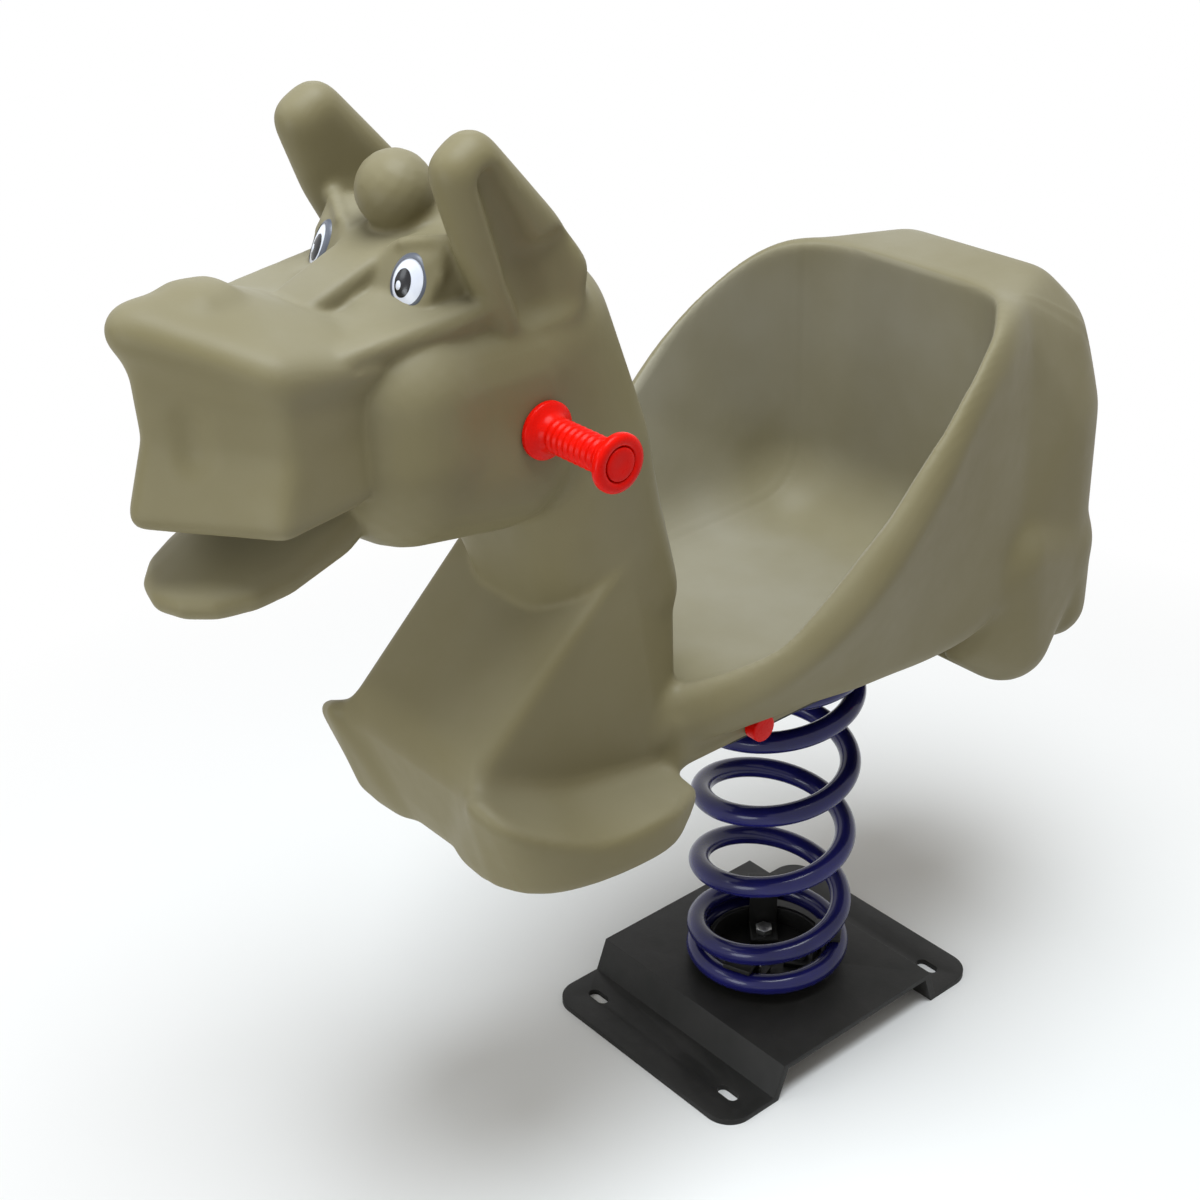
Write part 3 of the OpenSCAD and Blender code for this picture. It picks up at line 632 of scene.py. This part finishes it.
# %% Skull and mask
SKULL = both((30, -430, 725, 70), (30, -430, 775, 70), (30, -360, 715, 70), (30, -360, 775, 70))
CHEEK = both((56, -444, 742, 52), (56, -444, 778, 51))
MASK = both((78, -505, 822, 7), (81, -455, 825, 7), (84, -425, 828, 7), (85, -392, 835, 7),
            (30, -470, 802, 22), (40, -372, 808, 34))
SEAM = [(87, -500, 817, 2.6), (90, -455, 819, 2.6), (93, -425, 822, 2.6), (94, -394, 829, 2.6)]
skull = Field()
skull.add(SKULL, fillet=0)
skull.add(CHEEK, fillet=10)
head.merge(skull, fillet=2)
head.add(MASK, fillet=3)
for a, b in zip(SEAM, SEAM[1:]):
    head.carve([a, b], fillet=1)
print("skull and mask are done")

# %% [markdown]
# Each eye has a block with a flat front, under a thin brow and beside a thin lid. A panel runs down between
# the blocks from the tuft, which is a ball on a low mound.

# %% Brow and tuft
EYE_BLOCK = [(29, -425, 868, 5), (22, -433, 856, 5), (26, -443, 836, 5), (46, -440, 829, 5),
             (64, -429, 836, 5), (62, -420, 862, 5), (66, -408, 874, 5), (40, -375, 858, 22),
             (60, -378, 848, 20), (56, -380, 866, 12)]
BROW = [(36, -424, 872, 5), (69, -407, 878, 5), (80, -400, 878, 5), (85, -388, 838, 5)]
EYELID = [(64, -412, 875, 4), (69, -420, 856, 4), (66, -428, 841, 4), (54, -437, 832, 4)]
PANEL = both((14, -505, 828, 8), (16, -462, 838, 8), (19, -420, 863, 7), (15, -398, 868, 9))
MOUND = both((0, -398, 876, 20), (20, -392, 866, 14), (16, -345, 856, 28))
TUFT = both((0, -404, 897, 28))
head.add(EYE_BLOCK, fillet=3)
for ridge in (BROW, EYELID):
    for a, b in zip(ridge, ridge[1:]):
        head.add([a, b], fillet=3)
head.add(PANEL, fillet=3)
head.add(MOUND, fillet=6)
head.add(TUFT, fillet=5)
print("brow and tuft are done")

# %% [markdown]
# An ear is a cupped leaf: wide at the back, hollow on the outer side, with a rolled front edge.
# The leaf is built solid and softened first, and the hollow is carved afterwards, so its edge stays clear.

# %% Ears
EAR_FOOT = [(80, -374, 822, 16), (76, -324, 822, 18), (83, -319, 845, 13)]
EAR_MIDDLE = [(87, -407, 884, 15), (85, -347, 882, 13)]
EAR_TIP = [(89, -419, 930, 19), (88, -407, 936, 20), (86, -394, 920, 14)]
EAR_HOLLOW = [(101, -356, 828, 20), (100, -368, 858, 19), (102, -386, 892, 13), (105, -404, 924, 9)]
BACK_HOLLOW = [(102, -336, 826, 17), (101, -340, 862, 16), (100, -368, 858, 15)]
ear = Field()
ear.add(EAR_FOOT + EAR_MIDDLE, fillet=0)
ear.add(EAR_MIDDLE + EAR_TIP, fillet=0)
ear.soften(5.0)
ear.carve(EAR_HOLLOW, fillet=7)
ear.carve(BACK_HOLLOW, fillet=8)
head.merge(ear, fillet=6)
print("ears are done")

# %% [markdown]
# The neck is a chain of round cuts that sweeps down into the chest. The chest is a wedge with a crisp ridge
# down each side. The ridges stay crisp because the wedge is trimmed, not softened.

# %% Neck and chest
NECK = [both((36, -319, 789, 58)), both((32, -284, 686, 64)), both((32, -260, 624, 56), (36, -290, 620, 44)),
        both((40, -264, 566, 40), (20, -282, 560, 38), (44, -226, 552, 38))]
WEDGE = both((78, -262, 600, 6), (78, -287, 580, 6), (66, -405, 461, 17), (58, -384, 376, 18),
             (54, -220, 552, 22), (60, -222, 392, 24))
WEDGE_TRIM = both((140, -360, 444, 60), (140, -376, 384, 26), (140, -262, 588, 20), (140, -150, 610, 60),
                  (140, -150, 380, 40))
front = Field()
front.chain(NECK)
front.soften(6.0)
wedge = Field()
wedge.add(WEDGE, fillet=0)
wedge.trim(WEDGE_TRIM)
front.merge(wedge, fillet=4)
print("neck and chest are done")

# %% [markdown]
# At the knee the chest's ridge turns out into the lip of a ledge, which drops and runs back as a flat foot
# rest. Six cuts say what it looks like along the way, and a smooth curve through them gives the cuts between.

# %% Foot ledges
# Each cut of the ledge: lip, inner edge, two balls underneath
LEDGE_CUTS = [[(92, -422, 452, 9), (76, -405, 450, 10), (84, -390, 382, 20), (50, -386, 378, 18)],
              [(116, -414, 440, 7), (76, -390, 442, 9), (104, -380, 380, 18), (50, -378, 378, 16)],
              [(128, -382, 420, 7), (76, -366, 431, 8), (119, -358, 377, 15), (50, -360, 377, 15)],
              [(134, -333, 399, 7), (76, -326, 415, 8), (127, -318, 375, 14), (50, -322, 375, 14)],
              [(135, -270, 397, 7), (84, -268, 400, 8), (127, -268, 375, 14), (50, -268, 375, 14)],
              [(119, -228, 393, 7), (92, -226, 393, 8), (110, -236, 376, 14), (50, -226, 376, 14)]]
LEDGE_STEP = 0.2


def curve(at, knots, values):
    """A smooth curve through the given values."""
    knots, values = np.array(knots, float), np.array(values, float)
    slope = np.gradient(values, knots)
    i = np.clip(np.searchsorted(knots, at) - 1, 0, len(knots) - 2)
    h = knots[i + 1] - knots[i]
    t = (at - knots[i]) / h
    return ((1 + 2 * t) * (1 - t) ** 2 * values[i] + t * (1 - t) ** 2 * h * slope[i]
            + t * t * (3 - 2 * t) * values[i + 1] + t * t * (t - 1) * h * slope[i + 1])


def ledge_cut(t):
    places = range(len(LEDGE_CUTS))
    return [tuple(float(curve(t, places, [cut[ball][w] for cut in LEDGE_CUTS])) for w in range(4))
            for ball in range(4)]


ledge = Field()
ledge.chain([ledge_cut(t) for t in np.arange(0, len(LEDGE_CUTS) - 0.99, LEDGE_STEP)])
ledge.soften(3.5)
front.merge(ledge, fillet=16)
print("foot ledges are done")

# %% [markdown]
# The bucket seat is a tub whose rim climbs in one smooth curve to the backrest. Its cuts are set along that
# curve, at many stations, because a few would show as flat panels.

# %% Seat tub
PLACES = (-222, -190, -150, -100, -50, 0, 48, 110, 180)
RIM_HALF = (88, 119, 147, 167, 178, 176, 165, 147, 112)
RIM_TOP = (462, 482, 508, 548, 600, 652, 695, 724, 722)
LOW_HALF = (88, 108, 122, 133, 140, 141, 143, 143, 135)
LOW_EDGE = (412, 416, 420, 423, 420, 416, 412, 413, 430)
LOW_ROUND = (16, 16, 18, 20, 22, 24, 28, 34, 46)
STATIONS = 31
BACKREST = both((66, 216, 692, 36), (20, 206, 698, 24), (57, 224, 648, 66), (50, 224, 586, 88),
                (60, 232, 486, 78))


def station(y):
    shape = (RIM_HALF, RIM_TOP, LOW_HALF, LOW_EDGE, LOW_ROUND)
    half, top, low, z, r = (float(curve(y, PLACES, v)) for v in shape)
    return both((half - 20, y, top - 14, 14), (half - 8, y, top - 32, 8), (low - r, y, z + r, r))


seat = Field()
seat.chain([station(y) for y in np.linspace(PLACES[0], PLACES[-1], STATIONS)])
seat.add(station(150) + station(180) + BACKREST, fillet=0)
seat.soften(6.0)
print("seat tub is done, stations:", STATIONS)

# %% [markdown]
# The haunches and rear feet hang below, and a deep hollow is cut out for the rider. The hollow is a field of
# its own, softened before it cuts, so the seat is smooth inside and its rim stays narrow.

# %% Seat hollow and haunches
HAUNCH = both((96, 200, 376, 46), (94, 150, 400, 36), (100, 168, 476, 52), (84, 250, 456, 54))
REAR_FOOT = both((98, 264, 390, 36), (84, 250, 456, 54))
SCOOP_LOW = both((51, -195, 520, 60), (76, -130, 524, 64), (66, 78, 528, 68), (79, 30, 562, 62),
                 (101, -60, 608, 57), (101, -60, 650, 58), (99, 0, 650, 58))
SCOOP_HIGH = both((86, 45, 690, 60), (62, 84, 690, 62), (76, -190, 816, 58), (108, -110, 816, 58),
                  (106, 0, 816, 58), (88, 50, 816, 58), (54, 88, 816, 62))
seat.add(HAUNCH, fillet=8)
seat.add(REAR_FOOT, fillet=4)
scoop = Field()
scoop.add(SCOOP_LOW + SCOOP_HIGH, fillet=0)
scoop.soften(7.0)
seat.cut(scoop, fillet=7)
seat.soften(2.5)
print("seat is done")

# %% [markdown]
# All forms join into one shell. Its keel is open below, where the steel channel sits. The shell takes the
# place of the CAD shell and keeps inside its box.

# %% Join the forms
KEEL = both((84, -210, 409, 14), (84, -210, 440, 14), (84, 168, 409, 14), (84, 168, 440, 14))
SLOT_HALF, SLOT_LONG, SLOT_TOP = 92, 157, 436
EVEN_ROUNDS = 3
body = Field()
body.merge(seat, fillet=0)
body.add(KEEL, fillet=4)
body.merge(front, fillet=12)
body.merge(head, fillet=12)
body.soften(1.6)
gx, gy, gz = np.meshgrid(xs, ys, zs, indexing="ij")
keel_slot = np.maximum(np.maximum(gx - SLOT_HALF, np.abs(gy) - SLOT_LONG), gz - SLOT_TOP)
body.at = np.maximum(body.at, -keel_slot).astype(np.float32)
points, quads = skin_field(body.at)
points = even_out(points, quads, EVEN_ROUNDS)
cad_low, cad_high = (np.array(corner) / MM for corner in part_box("body_shell"))
points = np.clip(points, cad_low, cad_high)
add_mesh("moulded_shell", points * MM, quads.tolist(), finish["shell_khaki"], body="rider", node="body_shell",
         slot="shell_khaki")
print("shell points:", len(points), "low", points.min(0).round(1), "high", points.max(0).round(1))

# %% [markdown]
# The eyes are let into the flat fronts of the eye blocks. Each is a low dome: a white oval inside a blue-grey
# edge, with a dark oval that sits off centre, so that both look the same way, and a small white glint.
# The ovals are patches of rings that follow one dome, which keeps them from cutting into each other.

# %% Eye shape
EYE_AT, EYE_TURN, EYE_TILT = (52, -432, 851), math.radians(22), math.radians(24)
WHITE, EDGE, PUPIL, GLINT = (12.3, 17.0), (15.5, 20.5), (6.6, 9.8), (2.2, 3.2)
DOME, DOME_FALL = 4.6, 2.4
EYE_RINGS, EYE_SIDES = 10, 56


def eye_point(side, u, v, lift):
    """A point of the eye: u across, v up, lift off the face. Side is 1 on the left and -1 on the right."""
    across = Vector((math.cos(EYE_TURN), math.sin(EYE_TURN), 0))
    flat = math.cos(EYE_TILT)
    out = Vector((flat * math.sin(EYE_TURN), -flat * math.cos(EYE_TURN), math.sin(EYE_TILT)))
    spot = Vector(EYE_AT) + u * across + v * out.cross(across) + lift * out
    return Vector((side * spot.x, spot.y, spot.z)) * MM


def dome_height(u, v):
    return DOME - DOME_FALL * ((u / WHITE[0]) ** 2 + (v / WHITE[1]) ** 2)


def eye_oval(name, side, middle, size, inner, heights, **more):
    """An oval from inner to 1 of its size. Heights are added to the dome at its inner and outer edge."""
    points = []
    for i in range(EYE_RINGS + 1):
        s = inner + (1 - inner) * i / EYE_RINGS
        add = heights[0] + (heights[1] - heights[0]) * (i / EYE_RINGS) ** 3
        for k in range(EYE_SIDES):
            t = 2 * math.pi * k / EYE_SIDES
            u, v = middle[0] + s * size[0] * math.cos(t), middle[1] + s * size[1] * math.sin(t)
            points.append(eye_point(side, u, v, dome_height(u, v) + add))
    faces = ring_faces(EYE_RINGS + 1, EYE_SIDES)
    if side < 0:
        faces = [f[::-1] for f in faces]
    return add_mesh(name, points, faces, body="rider", **more)


# %% [markdown]
# Four patches make an eye. The edge starts under the white's rim and falls away to the face, and the dark
# oval and the glint stand a little higher than what they lie on.

# %% Eyes
LOOK, GLINT_SIDE, GLINT_DOWN = (-3.0, -1.2), 2.6, 2.0
CENTRE, EDGE_FROM = 0.001, 0.76
for name, side in (("left", 1), ("right", -1)):
    glint = (LOOK[0] - GLINT_SIDE * side, LOOK[1] - GLINT_DOWN)
    eye_oval(name + "_eye_white", side, (0, 0), WHITE, CENTRE, (0, 0), mat=finish["eye_white"],
             node=name + "_eye", slot="eye_white")
    eye_oval(name + "_eye_edge", side, (0, 0), EDGE, EDGE_FROM, (0.5, -2.4), mat=eye_edge_finish,
             slot="pupil_black")
    eye_oval(name + "_eye_dark", side, LOOK, PUPIL, CENTRE, (0.7, 0.1), mat=finish["pupil_black"],
             node=name + "_pupil", slot="pupil_black")
    eye_oval(name + "_eye_glint", side, glint, GLINT, CENTRE, (1.1, 0.6), mat=finish["eye_white"],
             slot="eye_white")
print("eyes are done")

# %% [markdown]
# A handle is turned all over: a flange against the head, a flared neck, a ribbed grip, and a second flange
# with a plug in its end. A lathe profile does that best, and one profile does both sides. Its length and its
# flange come from the CAD handle.

# %% Handle profile
GRIP, NECK_OUT, RIB, RIBS, PLUG = 11.6, 0.9, 1.5, 9, 12.2
AXIS = 0.01
GRIP_FROM, GRIP_TO = 13.5, 12.5
# From the head: how far along, and how much less than the flange's radius
ROOT = ((0, 0.8), (0.8, 0), (3.6, 0), (4.6, 0.7), (5.6, 3), (7, 6), (9, 8))
# The same, back from the outer end
END = ((9.4, 7.5), (8.2, 4), (7.4, 1.2), (6.6, 0.3), (5.6, 0), (3, 0), (1.5, 0.7), (0.4, 2.2), (0, 4),
       (0, 6), (0.5, 7.4))
# The hole for the plug: how far back, and how much more than the plug's radius
HOLE = ((1.0, 1.2), (2.0, 0.3), (4, 0.3))
# One rib: a share of its length, and a share of its height
RIB_SHAPE = ((0.0, 0.0), (0.18, 0.25), (0.34, 0.8), (0.5, 1.0), (0.66, 0.8), (0.82, 0.25))
# The plug: how far back from the outer end, and its radius
PLUG_SHAPE = ((4, AXIS), (4, PLUG), (1.2, PLUG), (0.4, PLUG - 0.5), (0.1, PLUG - 1.4), (0, PLUG - 3), (0, 5),
              (0.3, 3), (0.3, AXIS))


def handle_profile(length, flange):
    points = [(0, AXIS)] + [(along, flange - less) for along, less in ROOT]
    points += [(11.5, GRIP + NECK_OUT), (13, GRIP)]
    last = length - GRIP_TO
    for k in range(RIBS):
        for part, lift in RIB_SHAPE:
            points.append((GRIP_FROM + (last - GRIP_FROM) * (k + part) / RIBS, GRIP + RIB * lift))
    points += [(last, GRIP), (length - 11, GRIP + NECK_OUT)]
    points += [(length - back, flange - less) for back, less in END]
    return points + [(length - back, PLUG + more) for back, more in HOLE]


# %% [markdown]
# Each handle starts at the head's side, on the CAD handle's axis, and points outwards. Its flange is a little
# smaller than the CAD one, as it is in the photograph.

# %% Handles
FLANGE_LESS = 1.6
for name, side in (("left", 1), ("right", -1)):
    low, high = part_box(name + "_handle")
    middle = (low + high) / 2 / MM
    near, far = sorted((abs(low.x), abs(high.x)))
    length, flange = (far - near) / MM, (high.z - low.z) / 2 / MM - FLANGE_LESS
    start = Vector((side * near / MM, middle.y, middle.z))
    plug_profile = [(length - back, radius) for back, radius in PLUG_SHAPE]
    lathe(name + "_grip", handle_profile(length, flange), start, (side, 0, 0), mat=finish["handle_red"],
          body="rider", node=name + "_handle", slot="handle_red")
    lathe(name + "_grip_plug", plug_profile, start, (side, 0, 0), mat=finish["handle_red"],
          body="rider", node=name + "_handle_cap", slot="handle_red")
print("handle length", round(length, 1), "flange radius", round(flange, 1))

# %% [markdown]
# The steel is bent or cut from plate and bar, so its edges are broken. The plate and channel are thick and
# get rounder bends; clamps, rings and fasteners get a fine edge. The red bolt caps are moulded and well
# rounded. The CAD shapes are right as they are, so they are copied and only their edges change.

# %% Steel and caps
# How wide each edge is, in mm, and how many steps go round it
EDGES = {(1.6, 3): ("base_plate", "mount_channel"),
         (1.0, 2): ("lower_clamps", "upper_clamps"),
         (0.8, 2): ("lower_locating_ring", "upper_locating_ring"),
         (0.6, 2): ("lower_clamp_bolts", "upper_clamp_bolts", "lower_clamp_nuts", "upper_clamp_nuts"),
         (2.2, 4): ("cross_bolt_caps",)}
for (width, steps), nodes in EDGES.items():
    for node in nodes:
        broken_edges(node, width, steps)
print("pieces with broken edges:", sum(len(nodes) for nodes in EDGES.values()))

# %% [markdown]
# The spring is one wire: closed turns at both ends, open turns between, and a half turn where the pitch
# changes. A Screw modifier has one pitch only, so the wire's path is worked out turn by turn.

# %% Spring path
WIRE, COIL, START = 10.0, 70.0, math.radians(139)
LOW_Z, HIGH_Z, END_PITCH = 48.3, 385.7, 22.0
LOW_TURNS, RAMP, OPEN, HIGH_TURNS = 1.0, 0.5, 3.1, 0.75
TURNS = LOW_TURNS + RAMP + OPEN + RAMP + HIGH_TURNS
PITCH = (HIGH_Z - LOW_Z - END_PITCH * (LOW_TURNS + HIGH_TURNS + RAMP)) / (OPEN + RAMP)


def rise(n, closed):
    """How high the wire has climbed after n turns from its end, of which the first are closed."""
    ramped = np.clip(n - closed, 0, RAMP)
    gain = (PITCH - END_PITCH) / RAMP
    closed_rise = END_PITCH * np.minimum(n, closed + RAMP)
    return closed_rise + gain * ramped ** 2 / 2 + PITCH * np.maximum(n - closed - RAMP, 0)


def wire_path(n):
    z = np.where(n < TURNS / 2, LOW_Z + rise(n, LOW_TURNS), HIGH_Z - rise(TURNS - n, HIGH_TURNS))
    a = START + 2 * math.pi * n
    return np.stack([COIL * np.cos(a), COIL * np.sin(a), z], 1)


print("spring turns:", round(TURNS, 2), "pitch:", round(PITCH, 1))

# %% [markdown]
# The wire bends when the rider rocks, so it is made as two tubes that meet in the middle: the lower one turns
# with the first hinge and the upper one with the second. Each is blended from body to body along its height,
# so the bend is spread over the turns. The two ends of the wire are cut flat, with a broken edge.

# %% Spring
WIRE_SIDES, CUTS_A_TURN, NUDGE = 28, 84, 1e-3
MEET_Z = 217.0
# The end of the wire: how far in from the cut, and how much less than the wire's radius
WIRE_END = ((0.0, WIRE - AXIS), (0.0, 1.4), (0.4, 0.4), (1.4, 0.0))


def wire_tube(name, n0, n1, cut_start, cut_end):
    n = np.linspace(n0, n1, int((n1 - n0) * CUTS_A_TURN) + 1)
    path, way = wire_path(n), wire_path(n + NUDGE) - wire_path(n - NUDGE)
    way /= np.linalg.norm(way, axis=1)[:, None]
    out = path * [1, 1, 0]
    out /= np.linalg.norm(out, axis=1)[:, None]
    side = np.cross(way, out)
    rings = [(i, 0.0, WIRE) for i in range(len(n))]
    if cut_start:
        rings[:1] = [(0, along, WIRE - less) for along, less in WIRE_END]
    if cut_end:
        rings[-1:] = [(-1, -along, WIRE - less) for along, less in reversed(WIRE_END)]
    t = 2 * math.pi * np.arange(WIRE_SIDES) / WIRE_SIDES
    cos, sin = np.cos(t)[:, None], np.sin(t)[:, None]
    points = np.concatenate([path[i] + along * way[i] + r * (cos * out[i] + sin * side[i])
                             for i, along, r in rings])
    return add_mesh(name, points * MM, ring_faces(len(rings), WIRE_SIDES), finish["spring_blue"],
                    slot="spring_blue")


many = np.linspace(0, TURNS, 4001)
meet = np.interp(MEET_Z, wire_path(many)[:, 2], many)
lower_wire = wire_tube("spring_wire_lower", 0, meet, True, False)
upper_wire = wire_tube("spring_wire_upper", meet, TURNS, False, True)
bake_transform(lower_wire, "base", "spring", start=(0, 0, 0.05), end=(0, 0, MEET_Z * MM))
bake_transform(upper_wire, "spring", "rider", start=(0, 0, MEET_Z * MM), end=(0, 0, 0.384))
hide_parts("coil_spring")
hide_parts("coil_spring")
print("the two tubes meet after", round(float(meet), 2), "turns")

# %% [markdown]
# A pale floor catches the shadow. Away from the object it turns into plain white for the eye and in
# reflections, so the picture has a clean white ground. A very bright floor could do that too, but it would
# light the object from below.

# %% Floor
FLOOR_HALF, WHITE_FROM, WHITE_TO = 14, 0.35, 1.15
PALE = ((0.3, (0.86, 0.86, 0.86)), (0.7, (0.88, 0.88, 0.88)))


def seen_directly(kit):
    """One where a ray from the camera, a reflection or a see-through ray arrives."""
    path = kit.node("ShaderNodeLightPath", {}).outputs
    shiny = kit.maths("MAXIMUM", path["Is Glossy Ray"], path["Is Transmission Ray"])
    return kit.maths("MAXIMUM", path["Is Camera Ray"], shiny)


def join_shaders(kit, share, first, second, output):
    join = kit.node("ShaderNodeMixShader", {"Fac": share, 1: first, 2: second})
    kit.links.new(join.outputs["Shader"], kit.nodes[output].inputs["Surface"])


floor_mesh = bpy.data.meshes.new("floor")
corners = [(x * FLOOR_HALF, y * FLOOR_HALF, 0) for x, y in ((-1, -1), (1, -1), (1, 1), (-1, 1))]
floor_mesh.from_pydata(corners, [], [(0, 1, 2, 3)])
floor = link(bpy.data.objects.new("floor", floor_mesh))
pale = Finish("pale_floor")
shader = pale.nodes["Principled BSDF"]
pale.put(shader.inputs["Base Color"], pale.ramp(pale.noise(2.0), *PALE))
pale.put(shader.inputs["Roughness"], 0.9)
from_middle = pale.vector("LENGTH", pale.where)["Value"]
turned_white = pale.spread(from_middle, 0.0, 1.0, WHITE_FROM, WHITE_TO)
far_off = pale.maths("MULTIPLY", turned_white, seen_directly(pale))
glow = pale.node("ShaderNodeEmission", {})
join_shaders(pale, far_off, shader.outputs["BSDF"], glow.outputs["Emission"], "Material Output")
floor_mesh.materials.append(pale.owner)
print("floor turns white from", WHITE_FROM, "to", WHITE_TO, "m")

# %% [markdown]
# The surroundings are white for the eye and in reflections. For everything else they are a weak warm fill,
# so that the lamps make the shadows and the hollows don't go black.

# %% Surroundings
FILL_COLOUR, FILL = (1.0, 0.96, 0.88, 1), 0.34
world = bpy.data.worlds.new("studio")
studio = Nodes(world)
fill = studio.nodes["Background"]
fill.inputs["Color"].default_value = FILL_COLOUR
fill.inputs["Strength"].default_value = FILL
white = studio.node("ShaderNodeBackground", {"Color": (1.0, 1.0, 1.0, 1)})
join_shaders(studio, seen_directly(studio), fill.outputs["Background"], white.outputs["Background"],
             "World Output")
bpy.context.scene.world = world
print("fill light:", FILL)

# %% [markdown]
# The light is soft daylight: a wide lamp from above, over the animal's left, and two weak ones in front,
# so the flanks stay darker than what faces up. Round area lamps give the soft edges that a big window gives.

# %% Light
DAYLIGHT = (0.9, 0.96, 1.0)


def soft_light(name, place, aim, size, power):
    lamp = bpy.data.lights.new(name, "AREA")
    lamp.shape, lamp.size, lamp.energy = "DISK", size, power
    lamp.color = DAYLIGHT
    thing = link(bpy.data.objects.new(name, lamp))
    thing.location = place
    thing.rotation_euler = (Vector(aim) - Vector(place)).to_track_quat("-Z", "Y").to_euler()


soft_light("key", place=(-1.2, -2.4, 2.4), aim=(0, -0.1, 0.5), size=1.4, power=14)
soft_light("front", place=(0.2, -2.9, 0.75), aim=(0, -0.4, 0.65), size=1.4, power=26)
soft_light("top", place=(0.4, -0.35, 3.1), aim=(0, 0, 0.4), size=1.8, power=88)
